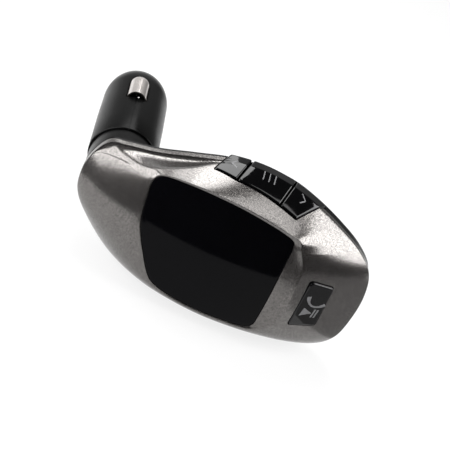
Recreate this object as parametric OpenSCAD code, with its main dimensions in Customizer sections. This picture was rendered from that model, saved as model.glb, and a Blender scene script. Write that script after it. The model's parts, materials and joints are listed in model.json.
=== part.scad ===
// Car FM transmitter: a 12 V lighter plug that carries a wide, lens-shaped
// head with a display window, three keys along the top and a call key.
//
// Axes: +Y is the way the plug points, -Y is the way the display faces,
// +X runs along the head and +Z is up. The origin lies on the plug's axis,
// where the plug meets the head.
//
// The head's skin is one loft. Two closed curves are drawn through hand-set
// shares: the parting line (rim) and the window. Each column of the loft is a
// superellipse between them, so both shells, the keys and the boards take
// their shape from the same few sizes.

/* [Plug] */
// Outer diameter of the plug's barrel
plug_d = 20.8; // [20.4:0.1:20.9]
// Straight length of the barrel, from the head to the start of the nose
barrel_l = 32; // [30:0.5:36]
// Length that the domed nose would have if it ran to a point
nose_l = 13.8; // [12:0.2:15]
// Draft of the barrel's nose end, on the radius
barrel_draft = 0.2; // [0.1:0.05:0.3]
// Wall of the barrel
barrel_wall = 2.2; // [1.8:0.1:2.4]
// Lean of the plug's seam from upright, as the plug is turned in the head
seam_turn = 14.5; // [0:0.5:30]

/* [Contacts] */
// Width of a side contact
ground_w = 6.1; // [5.4:0.1:6.4]
// Length of a side contact along the barrel
ground_l = 12; // [10:0.5:13]
// Height that a side contact stands proud of the barrel
ground_proud = 1.9; // [1.4:0.1:2.2]
// Sheet thickness of a side contact
ground_t = 0.45; // [0.3:0.05:0.6]
// Distance from the end of the side contact to the start of the nose
ground_gap = 0.8; // [0.6:0.1:2]
// Diameter of the centre contact
tip_d = 6; // [5:0.2:6.4]
// Length that the centre contact stands out of the nose
tip_out = 3.4; // [2.8:0.2:3.8]
// Travel of the centre contact
tip_travel = 2.6; // [2:0.2:2.8]

/* [Swivel] */
// Diameter of the plug's neck
neck_d = 10; // [9:0.2:11]
// Running clearance round the neck
neck_clear = 0.12; // [0.05:0.01:0.2]
// Thickness of the ring that holds the plug in the head
ring_t = 1.4; // [1.2:0.1:1.6]
// Width of the stop rib in the head, as an angle
stop_angle = 70; // [60:5:90]
// Width of the lug on the ring, as an angle
lug_angle = 20; // [16:2:24]

/* [Head] */
// Length of the head
head_w = 95.2; // [91:0.2:99]
// Height of the head
head_h = 51; // [49:0.5:54]
// Length that the plug reaches past the head's left end
end_over = 0.2; // [0:0.05:0.4]
// Depth of the front shell, from the parting line to the window
front_depth = 15.4; // [14.5:0.1:17]
// Depth of the rear shell, from the parting line to its flat back
rear_depth = 8; // [8:0.1:9]
// Distance from the flat back to the plug's shoulder
back_gap = 2; // [1.8:0.1:2.4]
// Wall of both shells
shell_wall = 1.8; // [1.6:0.1:2]
// Straight side of the front shell next to the parting line
front_skirt = 2; // [1.6:0.1:2.6]
// Straight side of the rear shell next to the parting line
rear_skirt = 2.5; // [2:0.1:3]
// Shadow gap between the two shells
seam_gap = 0.3; // [0.2:0.05:0.4]

/* [Window] */
// Distance from the window to the head's right end
window_right = 28.4; // [27:0.2:30]
// Distance from the window to the head's top and bottom
window_edge = 6.2; // [5.6:0.1:7]
// Distance from the head's left end to the window
window_x = 17.6; // [17:0.1:19]
// Thickness of the window glass
glass_t = 1.3; // [1:0.1:1.5]
// Radius of the glass, which is slightly domed
glass_r = 200; // [160:5:300]
// Gap between the glass and the shell
glass_gap = 0.15; // [0.1:0.05:0.25]
// Width of the sloping step at the right of the window
lip_w = 5.6; // [4.6:0.1:6]
// Height of that step above the glass
lip_rise = 1.3; // [1:0.1:1.6]
// Thickness of the adhesive tape under the glass
tape_t = 0.2; // [0.1:0.05:0.3]

/* [Keys] */
// Gap round each key
key_gap = 0.25; // [0.2:0.05:0.35]
// Height that the keys stand proud of the shell
key_proud = 0.4; // [0.2:0.1:0.6]
// Travel of each key
key_travel = 0.5; // [0.3:0.1:0.6]
// Thickness of a key's cap
key_t = 2.4; // [2:0.1:3]

/* [Boards] */
// Thickness of the circuit boards
board_t = 1.6; // [1.2:0.1:1.6]
// Thickness of the display module
lcd_t = 2.4; // [2:0.1:2.8]
// Width of the USB socket's shell
usb_w = 13.2; // [13:0.1:13.4]
// Height of the USB socket's shell
usb_h = 5.8; // [5.6:0.1:6]
// Depth of the USB socket
usb_l = 13.6; // [12:0.2:14]
// Width of the memory card slot
card_w = 12; // [11.6:0.1:12.4]
// Diameter of the shell screws
screw_d = 2; // [1.8:0.1:2.2]

/* [Hidden] */
plug_inset = plug_d / 2 - end_over;     // from the head's left end to the plug's axis

// Facets of the true round parts
$fn = 96;
// Columns that each span of an outline is drawn with
span_cols = 4;
// Overrun of a cut past the face that it opens
over = 1;
// Clearance between pieces that are seated in each other
seat = 0.1;
// Clearance between pieces that slide on each other
slide = 0.15;

// The parting line, from the left end clockwise, as shares of head_w and head_h.
rim_shares = [[0, -0.022], [0.005, 0.106], [0.031, 0.220], [0.081, 0.253],
    [0.177, 0.304], [0.272, 0.380], [0.372, 0.455], [0.478, 0.496],
    [0.584, 0.494], [0.690, 0.453], [0.796, 0.386], [0.886, 0.308],
    [0.954, 0.204], [0.988, 0.047], [1, -0.139], [0.993, -0.306],
    [0.948, -0.410], [0.850, -0.453], [0.722, -0.480], [0.574, -0.498],
    [0.425, -0.496], [0.288, -0.478], [0.182, -0.425], [0.071, -0.273],
    [0.018, -0.155]];
// The window, in the same order, as shares of window_w and window_h.
window_shares = [[0.039, 0.083], [0.016, 0.212], [0, 0.324], [0.008, 0.404],
    [0.057, 0.443], [0.165, 0.471], [0.317, 0.492], [0.520, 0.500],
    [0.703, 0.484], [0.835, 0.459], [0.900, 0.430], [0.919, 0.370],
    [0.933, 0.251], [0.951, 0.096], [0.974, -0.111], [0.994, -0.332],
    [0.996, -0.417], [0.959, -0.464], [0.846, -0.487], [0.663, -0.500],
    [0.480, -0.490], [0.343, -0.461], [0.260, -0.391], [0.144, -0.184],
    [0.073, -0.028]];
// For each of those columns: width of the step at the window's edge, as a
// share of lip_w, its height as a share of lip_rise, fullness of the skin
// (2 is straight, 1 is a quarter ellipse), place of the crease, and depth of
// the hollow above the crease.
column_shares = [[0.06, 0.05, 1.62, 0.20, 0], [0.06, 0.05, 1.80, 0.10, 0.3],
    [0.06, 0.05, 2.05, 0.56, 1], [0.07, 0.10, 2.15, 0.68, 1],
    [0.12, 0.25, 2.10, 0.63, 1], [0.15, 0.35, 1.95, 0.46, 0.9],
    [0.15, 0.35, 1.85, 0.20, 0.1], [0.15, 0.35, 1.85, 0.33, 0],
    [0.15, 0.35, 1.85, 0.40, 0], [0.20, 0.50, 1.85, 0.40, 0],
    [0.35, 0.80, 1.85, 0.40, 0], [0.50, 1, 1.85, 0.40, 0],
    [0.90, 1, 1.85, 0.40, 0], [1, 1, 1.85, 0.40, 0], [1, 1, 1.85, 0.40, 0],
    [0.85, 0.95, 1.80, 0.40, 0], [0.30, 0.60, 1.60, 0.40, 0],
    [0.10, 0.20, 1.40, 0.40, 0], [0.07, 0.10, 1.25, 0.40, 0],
    [0.07, 0.10, 1.20, 0.40, 0], [0.07, 0.10, 1.25, 0.40, 0],
    [0.07, 0.05, 1.35, 0.40, 0], [0.06, 0.05, 1.50, 0.40, 0],
    [0.06, 0.05, 1.55, 0.40, 0], [0.06, 0.05, 1.60, 0.35, 0]];

// Size of the display module, as shares of window_w and window_h
lcd_shares = [0.691, 0.648];

window_w = head_w - window_x - window_right;
window_h = head_h - 2 * window_edge;
lcd_w = lcd_shares[0] * window_w;
lcd_h = lcd_shares[1] * window_h;

// Levels along Y
flat_y = -back_gap;                     // flat back of the head
part_y = flat_y - rear_depth;           // parting line
glass_y = part_y - front_depth;         // crown of the glass
head_z = -0.9 / 51 * head_h;            // middle of the head's height
window_z = -1.7 / 38.6 * window_h;      // middle of the window's height
glass_x = window_x - plug_inset + window_w / 2;
hollow_depth = 0.0137 * head_w;     // depth of the hollow above the crease
cols = len(rim_shares) * span_cols;

// A closed curve through the given points (Catmull-Rom).
function blend(a, b, c, d, t) = ((2 * b) + (c - a) * t
    + (2 * a - 5 * b + 4 * c - d) * t * t + (3 * b - a - 3 * c + d) * t * t * t) / 2;
function curve(p) = let (n = len(p)) [for (i = [0:n - 1], j = [0:span_cols - 1])
    blend(p[(i + n - 1) % n], p[i], p[(i + 1) % n], p[(i + 2) % n], j / span_cols)];
// The same curve moved inwards by d (the curves run clockwise).
function inward(p, d) = let (n = len(p)) [for (i = [0:n - 1])
    let (t = p[(i + 1) % n] - p[(i + n - 1) % n]) p[i] + d * [t[1], -t[0]] / norm(t)];
function mix(a, b, t) = a + (b - a) * t;

rim = curve([for (s = rim_shares) [s[0] * head_w - plug_inset, head_z + s[1] * head_h]]);
pane = curve([for (s = window_shares)
    [s[0] * window_w + window_x - plug_inset, window_z + s[1] * window_h]]);
column = curve(column_shares);
rim_in = inward(rim, shell_wall);
rim_seat = inward(rim, seat);
lip = let (o = inward(pane, -lip_w)) [for (i = [0:cols - 1]) mix(pane[i], o[i], column[i][0])];

// Level of a dome that lies d inside the glass's face, over a point [x, z]
function dome_y(p, d) = glass_y + glass_r
    - sqrt(pow(glass_r - d, 2) - pow(p[0] - glass_x, 2) - pow(p[1] - window_z, 2));
function face_y(p) = dome_y(p, 0);
// Superellipse from the rim (t = 0) to the front (t = 1): [share inwards, share of depth]
function bow(t, e) = [1 - pow(cos(90 * t), e), pow(sin(90 * t), e)];
// Rows of the front skin: ramp is the row of the crease
skin_rows = 9;
ramp_row = 4;
function row_t(k, c) = k <= ramp_row ? c * k / ramp_row
    : min(1, c + (1 - c) * (k - ramp_row) / (skin_rows - ramp_row));
// A point of the skin, moved down and back by h into the hollow
function dented(p, y, h) = [p[0] + 0.1 * h, y + 0.3 * h, p[1] - 0.95 * h];
function skin_point(i, k) = let (c = column[i], b = bow(row_t(k, c[3]), c[2]),
        p = mix(rim[i], lip[i], b[0]), y0 = part_y - front_skirt,
        y1 = face_y(lip[i]) - c[1] * lip_rise, y = mix(y0, y1, b[1]),
        h = k < ramp_row ? hollow_depth * c[4] * sin(180 * k / ramp_row) : 0)
    dented(p, y, h);
// Rows of the rear skin, from the parting line to the flat back
back_rows = 6;
back_share = 0.55;
slim_share = 0.3;
back_mid = [0.46 * head_w - plug_inset, head_z];
// The rear skin is slim behind the plug's end and full at the far end.
function back_full(p) = let (t = min(1, max(0, ((p[0] + plug_inset) / head_w - 0.3) / 0.35)))
    t * t * (3 - 2 * t);
function back_point(i, t, p0, skirt, y1) = let (f = back_full(p0[i]),
        y0 = part_y + skirt * mix(slim_share, 1, f), b = bow(t, mix(1.8, 1.1, f)),
        p = mix(p0[i], mix(p0[i], back_mid, back_share), b[0])) [p[0], mix(y0, y1, b[1]), p[1]];

// One ring of points at level y, or through a list of levels
function ring(p, y) = [for (q = p) [q[0], y, q[1]]];
function flat(l) = [for (a = l, b = a) b];
// Triangles between ring a and ring b of a list of rings
function band(a, b) = flat([for (i = [0:cols - 1]) let (j = (i + 1) % cols)
    [[a * cols + i, a * cols + j, b * cols + j], [a * cols + i, b * cols + j, b * cols + i]]]);
function bands(n, closed) = flat([for (r = [0:n - (closed ? 1 : 2)]) band(r, (r + 1) % n)]);

front_rows = concat(
    [ring(rim_seat, part_y - seam_gap / 2)],
    [ring(rim, part_y - front_skirt * 0.4)],
    [for (k = [0:skin_rows]) [for (i = [0:cols - 1]) skin_point(i, k)]]);
rear_rows = concat(
    [ring(rim_seat, part_y + seam_gap / 2)],
    [for (k = [0:back_rows]) [for (i = [0:cols - 1])
        back_point(i, k / back_rows, rim_seat, rear_skirt, flat_y)]]);

// ---- Values of the plug ----
plug_r = plug_d / 2;
cavity_r = plug_r - barrel_wall;
shell_lip = 1;                           // plastic behind the cavity's nose end
floor_t = 3;                             // floor of the barrel
cavity_end = barrel_l + shell_lip;
nose_r = plug_r - barrel_draft;          // radius where the nose starts
nose_flat_r = 4;                         // flat end of the nose
nose_end = barrel_l + nose_l * sqrt(1 - pow(nose_flat_r / nose_r, 2));
seam_cut = 0.12;                         // half width of the seam line
seam_depth = 0.35;
quarter_turn = 90;
neck_r = neck_d / 2;
lead_d = 2.8;                            // power lead through the neck
lead_clear = 0.6;

// Swivel
shoulder = slide;                        // running gap between plug and head
collar_step = 0.15;                      // collar of the head, slimmer than the plug
collar_draft = 0.3;                      // draft of the collar, on the radius
web_t = 4.85;                            // web of the head that the neck turns in
web_y = -shoulder - web_t;
run_gap = 0.05;                          // gap on each side of the washer
washer_t = 0.3;
ring_y = web_y - washer_t - 2 * run_gap; // face of the ring towards the plug
ring_end = ring_y - ring_t;
neck_lip = 0.8;                          // neck beyond the ring
neck_end = ring_end - neck_lip;
groove_r = neck_r - 1.2 / 10 * neck_d;   // floor of the ring's groove
ring_r = 0.72 * neck_d;
lug_r = 0.86 * neck_d;
boss_bore_r = lug_r + 2 * slide;
stop_r = ring_r + slide;
stop_home = 180;                         // the rib lies opposite the upright lug
boss_end = part_y + neck_lip;            // front end of the boss

// Centre contact
tip_r = tip_d / 2;
tip_flange_r = 0.7 * tip_d;
tip_flange_t = 1.7;
tip_wall = 0.9;
tip_dome = 0.3 * tip_d;
tip_end = nose_end + tip_out;
tip_bore_end = nose_end + 0.4 * tip_out;
nose_wall = 3.7;                         // plastic that stops the flange
shoulder_y = nose_end - nose_wall;
spring_seat = cavity_end + 1.5 * shell_lip;
coil_d = 0.5;                            // wire of the springs
coil_sides = 6;
coil_steps = 14;

// Side contacts
ground_r = ground_w / 2;
ground_y1 = barrel_l - ground_gap;       // nose end
ground_y0 = ground_y1 - ground_l;        // open end
ground_yc = ground_y1 - ground_r;        // centre of the rounded end
ground_top = plug_r + ground_proud;
ground_axis = ground_top - ground_r;
ground_travel = ground_proud + run_gap;
flange_lap = 0.75;                       // flange beyond the slot
ground_clear = 0.25;
// Underside of the flange, whose corners clear the cavity
flange_z = sqrt(pow(cavity_r - ground_clear, 2) - pow(ground_r + flange_lap, 2)) - ground_t;
ground_mid = (ground_y0 + ground_y1) / 2;
band_l = ground_y0 - 2 * ground_clear;   // true round base of the barrel, that the socket holds
ground_coil_d = 2.8;
// Height of the hood's inside over the edge of its spring
hood_roof = ground_axis + sqrt(pow(ground_r - ground_t, 2) - pow(ground_coil_d / 2, 2));

// Board in the plug
plug_board_w = 2 * (cavity_r - 2 * run_gap);
plug_board_y0 = floor_t + shell_lip;
plug_board_y1 = cavity_end - 3 * shell_lip;
// Parts on it: place along it, place across it, length, width, height, as
// shares of its length, its width, and for the last of cavity_r
plug_part_shares = [[0.14, 0.20, 0.22, 0.36, 0.45], [0.20, -0.26, 0.16, 0.22, 0.30],
    [0.44, 0.24, 0.16, 0.26, 0.25], [0.82, -0.28, 0.14, 0.24, 0.22],
    [0.84, 0.26, 0.20, 0.20, 0.28]];
plug_cap_d = 5;
plug_cap_l = 8;

// ---- Values of the head ----
ledge_w = 1.3;                           // ledge that the glass is glued to
ledge_t = 1.2;
ledge_drop = glass_t + tape_t;
inner_rows = 5;

// Keys along the top: front, rear and depth of each edge, as shares
// of head_w, head_w and front_depth
key_shares = [[0.332, 0.373, 0.410], [0.4075, 0.4454, 0.540],
    [0.559, 0.5966, 0.623], [0.625, 0.727, 0.662]];
key_round = 0.6;
key_back = part_y + rear_depth / 4;
key_spot = [for (k = key_shares) [k[0] * head_w - plug_inset, part_y - k[2] * front_depth]];
key_rear = [for (k = key_shares) [k[1] * head_w - plug_inset, key_back]];
flange_t = 0.6;                          // flange that keeps a key in
key_lap = 0.6;
call_lap = 0.45;
switch_h = 1.9;
switch_w = 4.4;
switch_pin_d = 2;
key_board_t = 1.2;
key_board_z = head_z + 0.282 * head_h;   // underside of the key board
key_low = key_board_z + key_board_t + switch_h + key_travel + seat;
slot_z = key_low - key_travel - slide;   // depth that the slot is cut to
key_mid = [for (k = [0:2]) (key_spot[k] + key_spot[k + 1] + key_rear[k] + key_rear[k + 1]) / 4];

// Call key, on the sloping pad at the right
call_turn = 25.5;
call_x = head_w - plug_inset - 0.5766 * window_right;
call_z = head_z - 0.055 * head_h;
// Its corners, as shares of window_right and head_h
call_shares = [[-0.221, 0.182], [0.127, 0.157], [0.228, -0.159], [-0.134, -0.180]];
call_pts = [for (s = call_shares) [s[0] * window_right, s[1] * head_h]];
call_round = 1.2;
call_sink = 0.25;                        // pad below the skin's highest line
call_flange_y = key_t + 0.7;
call_board_y = call_flange_y + flange_t + key_travel + seat + switch_h;
call_post_z = 0.228 * head_h;
call_post_d = 3.6;
call_pin_d = 1.6;
call_board_w = 9;
call_board_h = 2 * call_post_z + 1.2 * call_post_d;

// Boards and display
board_y = part_y - 0.3 * rear_depth;     // back face of the main board
board_front = board_y - board_t;
board_clear = 0.5;
board_x1 = 0.765 * head_w - plug_inset;  // its right end
board_z1 = key_board_z - board_clear;    // its top end
holder_wall = 1.2;
lcd_x = glass_x + 0.055 * window_w;
lcd_z = window_z + 0.018 * window_h;
lcd_back = board_front - 2 * lcd_t;

// Screws, as shares of head_w and head_h
screw_shares = [[0.249, 0.272], [0.317, -0.410], [0.840, -0.385], [0.790, 0.270]];
screws = [for (s = screw_shares) [s[0] * head_w - plug_inset, head_z + s[1] * head_h]];
boss_d = 2.5 * screw_d;
spigot_d = 2 * screw_d;
screw_seat = part_y + 2.2 / 8 * rear_depth;
screw_head_d = 1.8 * screw_d;
screw_head_t = 0.65 * screw_d;
screw_l = 4 * screw_d;

// Ports, microphone and wire
port_clear = 0.2;
port_wall = 0.4;
usb_x = 0.496 * head_w - plug_inset;
usb_tongue_t = 1.9;
card_x = 0.706 * head_w - plug_inset;
card_t = 1.7;
card_l = 1.15 * card_w;
bottom_z = min([for (p = rim_in) p[1]]);
usb_z0 = bottom_z + port_clear;
card_z0 = usb_z0 + 0.9 * shell_wall;
mic_d = 4;
mic_t = 1.6;
mic_hole_d = 1.2;
mic_x = 0.235 * head_w - plug_inset;
mic_z = head_z - 0.275 * head_h;
mic_y = board_front - mic_d / 2;
socket_w = 6;
socket_h = 4.4;
wire_d = 0.9;
wire_bend = 1.5;
// Parts on the main board: place in x and z, size in x and z, height, as
// shares of head_w, head_h, head_w, head_h and rear_depth
chip_shares = [[0.270, -0.020, 0.095, 0.178, 0.18], [0.400, 0.060, 0.063, 0.100, 0.15],
    [0.530, 0.020, 0.080, 0.105, 0.20], [0.660, 0.060, 0.055, 0.110, 0.35],
    [0.615, -0.170, 0.032, 0.060, 0.12], [0.300, -0.270, 0.050, 0.080, 0.25],
    [0.190, -0.110, 0.036, 0.052, 0.14], [0.725, -0.030, 0.030, 0.090, 0.22]];
header_w = 10;
header_h = 2.5;

// ---- Building blocks ----

// A flat outline in X and Z, made solid from y0 to y1
module slab(y0, y1) { translate([0, y1, 0]) rotate([90, 0, 0]) linear_extrude(y1 - y0) children(); }
// A round rod along Y
module rod(d, y0, y1) { slab(y0, y1) circle(d = d); }
// A shape turned about Y from points [radius, y]
module turned(p) { rotate([-90, 0, 0]) rotate_extrude() polygon(p); }
module at(p) { translate([p[0], 0, p[1]]) children(); }
// Turned to the seam of the plug
module at_seam(turn = 0) { rotate([0, turn - seam_turn, 0]) children(); }
// A box from its middle in x and z, standing from y0 to y1
module block(x, z, w, h, y0, y1) { translate([x - w / 2, y0, z - h / 2]) cube([w, y1 - y0, h]); }
// A coil spring along Z, from z0 to z1
module coil(d, turns, z0, z1) {
    n = turns * coil_steps;
    r = (d - coil_d) / 2;
    pts = [for (i = [0:n], j = [0:coil_sides - 1]) let (a = 360 * i / coil_steps,
        b = 360 * j / coil_sides, q = r + coil_d / 2 * cos(b))
        [q * cos(a), q * sin(a), mix(z0 + coil_d / 2, z1 - coil_d / 2, i / n) + coil_d / 2 * sin(b)]];
    sides = [for (i = [0:n - 1], j = [0:coil_sides - 1]) let (k = (j + 1) % coil_sides,
        a = i * coil_sides, b = a + coil_sides) each [[a + j, b + k, a + k], [a + j, b + j, b + k]]];
    ends = [for (j = [1:coil_sides - 2]) each [[0, j, j + 1],
        [n * coil_sides, n * coil_sides + j + 1, n * coil_sides + j]]];
    polyhedron(pts, concat(sides, ends), convexity = 10);
}

// ---- The head's skins ----

// Level of the outer front skin over a point p = [x, z] between rim and window
function share_on(i, p) = let (v = lip[i] - rim[i]) min(1, max(0, (v * (p - rim[i])) / (v * v)));
function column_at(p) = let (d = [for (i = [0:cols - 1]) norm(p - mix(rim[i], lip[i], share_on(i, p)))],
    m = min(d)) [for (i = [0:cols - 1]) if (d[i] == m) i][0];
function front_level(p) = let (i = column_at(p), c = column[i], s = share_on(i, p),
        t = acos(pow(1 - s, 1 / c[2])) / 90)
    s >= 1 ? face_y(p) + ledge_drop - ledge_t / 3
    : mix(part_y - front_skirt, face_y(lip[i]) - c[1] * lip_rise, bow(t, c[2])[1]);
// Level inside the front wall, or inside the ledge, that a boss of radius r starts from
function reach(p, r) = share_on(column_at(p), p) >= 1 ? dome_y(p, ledge_drop) + ledge_t / 2
    : max([for (a = [0:45:315]) front_level(p + r * [cos(a), sin(a)])]) + shell_wall / 2;
// Level of the outer rear skin over a point p = [x, z]
function back_level(p) = let (a = atan2(p[1] - back_mid[1], p[0] - back_mid[0]),
        d = [for (q = rim) let (b = abs(atan2(q[1] - back_mid[1], q[0] - back_mid[0]) - a))
            min(b, 360 - b)], m = min(d), i = [for (i = [0:cols - 1]) if (d[i] == m) i][0],
        f = back_full(rim[i]), e = mix(1.8, 1.1, f),
        s = norm(p - rim[i]) / norm(back_mid - rim[i]) / back_share,
        t = s >= 1 ? 1 : acos(pow(1 - s, 1 / e)) / 90)
    mix(part_y + rear_skirt * mix(slim_share, 1, f), flat_y, bow(t, e)[1]);

// On the pad of the call key: x along the pad, z up, +y into the head
pad_y = front_level([call_x, call_z]) + call_sink;
module at_pad() { translate([call_x, pad_y, call_z]) rotate([0, 0, call_turn]) children(); }

// A surface through rings that a middle point closes at each end
module loft(rows, first, last) {
    n = len(rows);
    polyhedron(concat(flat(rows), [first, last]), concat(bands(n, false),
        [for (i = [0:cols - 1]) [n * cols, (i + 1) % cols, i]],
        [for (i = [0:cols - 1]) [n * cols + 1, (n - 1) * cols + i, (n - 1) * cols + (i + 1) % cols]]),
        convexity = 8);
}
// A ring of the skin moved outwards by g
function grown(row, g) = [for (i = [0:cols - 1]) let (j = (i + 1) % cols, h = (i + cols - 1) % cols,
    t = [row[j][0] - row[h][0], row[j][2] - row[h][2]])
    [row[i][0] - g * t[1] / norm(t), row[i][1], row[i][2] + g * t[0] / norm(t)]];
// The head's form with its skin moved outwards by g, for the keys
module head_form(g) {
    back = [for (k = [3:-1:0]) grown([for (i = [0:cols - 1])
        back_point(i, k / 3, rim, rear_skirt, flat_y)], g)];
    front = [for (k = [0:2:skin_rows - 1]) [for (q = grown([for (i = [0:cols - 1]) skin_point(i, k)], g))
        [q[0], q[1] - g * sin(90 * k / skin_rows), q[2]]]];
    loft(concat(back, front), [back_mid[0], flat_y, back_mid[1]], [glass_x, glass_y, window_z]);
}

function inner_point(i, k) = let (b = bow(k / inner_rows, column[i][2]),
        p = mix(rim_in[i], pane_out[i], b[0]), t = k / inner_rows, c = column[i],
        h = t < c[3] ? hollow_depth * c[4] * sin(180 * t / c[3]) : 0)
    dented(p, mix(part_y - front_skirt, face_y(pane[i]) + ledge_drop + ledge_t, b[1]), h);
pane_in = inward(pane, ledge_w);
pane_out = inward(pane, -port_clear);
module front_skin() {
    rows = concat(front_rows,
        [[for (p = pane) [p[0], face_y(p), p[1]]]],
        [[for (p = pane) [p[0], dome_y(p, ledge_drop), p[1]]]],
        [[for (p = pane_in) [p[0], dome_y(p, ledge_drop), p[1]]]],
        [[for (i = [0:cols - 1]) [pane_in[i][0], face_y(pane[i]) + ledge_drop + ledge_t, pane_in[i][1]]]],
        [for (k = [inner_rows:-1:0]) [for (i = [0:cols - 1]) inner_point(i, k)]],
        [ring(rim_in, part_y - seam_gap / 2)]);
    polyhedron(flat(rows), bands(len(rows), true), convexity = 8);
}
module rear_skin() {
    n = len(rear_rows);
    loft(concat([for (k = [n - 1:-1:0]) rear_rows[k]], [ring(rim_in, part_y + seam_gap / 2)],
        [for (k = [0:3]) [for (i = [0:cols - 1])
            back_point(i, k / 3, rim_in, rear_skirt, flat_y - shell_wall)]]),
        [back_mid[0], flat_y, back_mid[1]], [back_mid[0], flat_y - shell_wall, back_mid[1]]);
}

// Outlines seen from above, in X and Y
module key_outline(k, clear) {
    offset(r = key_round, $fn = 24) offset(delta = -key_round - clear)
        polygon([key_spot[k], key_spot[k + 1], key_rear[k + 1], key_rear[k]]);
}
// Outline of key k's flange, which laps behind the shell at the front, the
// rear and the outer ends
function unit(v) = v / norm(v);
function flange_points(k) = let (u = unit(key_spot[k] - key_rear[k]),
        v = unit(key_spot[k + 1] - key_rear[k + 1]), e = key_lap + key_gap,
        l = k == 0 ? [e, 0] : [0, 0], r = k == 2 ? [e, 0] : [0, 0])
    [key_spot[k] + e * u - l, key_spot[k + 1] + e * v + r, key_rear[k + 1] - e * v + r,
        key_rear[k] - e * u - l];
module flange_outline(k, clear) { offset(delta = -clear) polygon(flange_points(k)); }
module key_slot() {
    for (k = [0:2]) translate([0, 0, slot_z]) linear_extrude(flange_t + key_travel + 2 * slide)
        flange_outline(k, -seat);
    translate([0, 0, slot_z]) linear_extrude(head_h) offset(r = key_round, $fn = 24)
        offset(delta = -key_round) polygon(concat(key_spot, [for (k = [3:-1:0]) key_rear[k]]));
}
module call_outline(clear) {
    offset(r = call_round, $fn = 24) offset(delta = -call_round - clear) polygon(call_pts);
}
module ports() {
    block(usb_x, -head_h, usb_w + 2 * port_clear, 1.5 * head_h, board_y - port_clear,
        board_y + usb_h + port_clear);
    block(card_x, -head_h, card_w + 2 * port_clear, 1.5 * head_h, board_y - port_clear,
        board_y + card_t + port_clear);
}

// ---- Shells ----

module front_shell() {
    color([0.42, 0.40, 0.39]) difference() {
        union() {
            front_skin();
            for (s = screws) at(s) {
                rod(boss_d, reach(s, boss_d / 2), board_front);
                rod(spigot_d, board_front - over, part_y - seam_gap / 2);
            }
            at_pad() for (s = [-1, 1]) translate([0, 0, s * call_post_z]) {
                y0 = (reach([call_x, call_z + s * call_post_z], call_post_d / 2) - pad_y) * cos(call_turn);
                rod(call_post_d, y0, call_board_y);
                rod(call_pin_d, y0, call_board_y + key_board_t + seat);
            }
        }
        for (s = screws) at(s) rod(screw_d, screw_seat - screw_l - seat, part_y + over);
        key_slot();
        at_pad() {
            slab(-front_depth, front_depth / 2) call_outline(0);
            slab(call_flange_y - seat, front_depth / 2) call_outline(-call_lap - slide);
        }
        ports();
        translate([mic_x, mic_y, -head_h]) cylinder(d = mic_hole_d, h = 0.75 * head_h, $fn = 24);
    }
}

module rear_shell() {
    color([0.06, 0.06, 0.07]) difference() {
        union() {
            rear_skin();
            turned([[0, boss_end], [plug_r - collar_step + collar_draft, boss_end],
                [plug_r - collar_step, -shoulder], [0, -shoulder]]);
            for (s = screws) at(s) rod(boss_d, part_y - seam_gap / 2, back_level(s) - shell_wall / 2);
        }
        rod(neck_d + 2 * neck_clear, web_y - over, over);
        difference() {
            rod(2 * boss_bore_r, boss_end - over, web_y);
            rotate([0, stop_home, 0]) stop_rib();
        }
        for (s = screws) at(s) {
            rod(screw_d + 2 * seat, part_y - over, over);
            rod(screw_head_d + 2 * port_clear, screw_seat, over);
        }
        key_slot();
        ports();
    }
}
// Rib that the ring's lug meets at both ends of the swivel
module stop_rib() {
    rotate([-90, 0, 0]) translate([0, 0, web_y - ring_t - 2 * washer_t]) rotate([0, 0, -90 - stop_angle / 2])
        rotate_extrude(angle = stop_angle) translate([stop_r, 0])
        square([boss_bore_r, ring_t + 2 * washer_t + over]);
}

// ---- Window and display ----

module pane_outline(clear) { polygon(inward(pane, clear)); }
// A dome of thickness t that lies d below the glass's face
module dome_layer(d, t) {
    translate([glass_x, glass_y + glass_r, window_z]) difference() {
        sphere(r = glass_r - d, $fn = 360);
        sphere(r = glass_r - d - t, $fn = 360);
    }
}
module window_glass() {
    color([0.02, 0.02, 0.03]) intersection() {
        slab(glass_y - over, part_y) pane_outline(glass_gap);
        dome_layer(0, glass_t);
    }
}
module glass_tape() {
    color([0.1, 0.1, 0.1]) intersection() {
        slab(glass_y - over, part_y) difference() {
            pane_outline(glass_gap);
            pane_outline(ledge_w);
        }
        dome_layer(glass_t, tape_t);
    }
}
module lcd_panel() {
    color([0.15, 0.17, 0.2]) {
        block(lcd_x, lcd_z, lcd_w, lcd_h, lcd_back - lcd_t, lcd_back);
    }
}
module lcd_holder() {
    w = lcd_w + 2 * holder_wall;
    h = lcd_h + 2 * holder_wall;
    color([0.85, 0.85, 0.82]) difference() {
        block(lcd_x, lcd_z, w, h, lcd_back - lcd_t / 2, board_front);
        block(lcd_x, lcd_z, lcd_w + 2 * seat, lcd_h + 2 * seat, lcd_back - lcd_t, lcd_back);
        block(lcd_x, lcd_z, lcd_w - 2 * holder_wall, lcd_h - 2 * holder_wall,
            lcd_back - lcd_t, board_front + over);
    }
}

// ---- Boards ----

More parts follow.
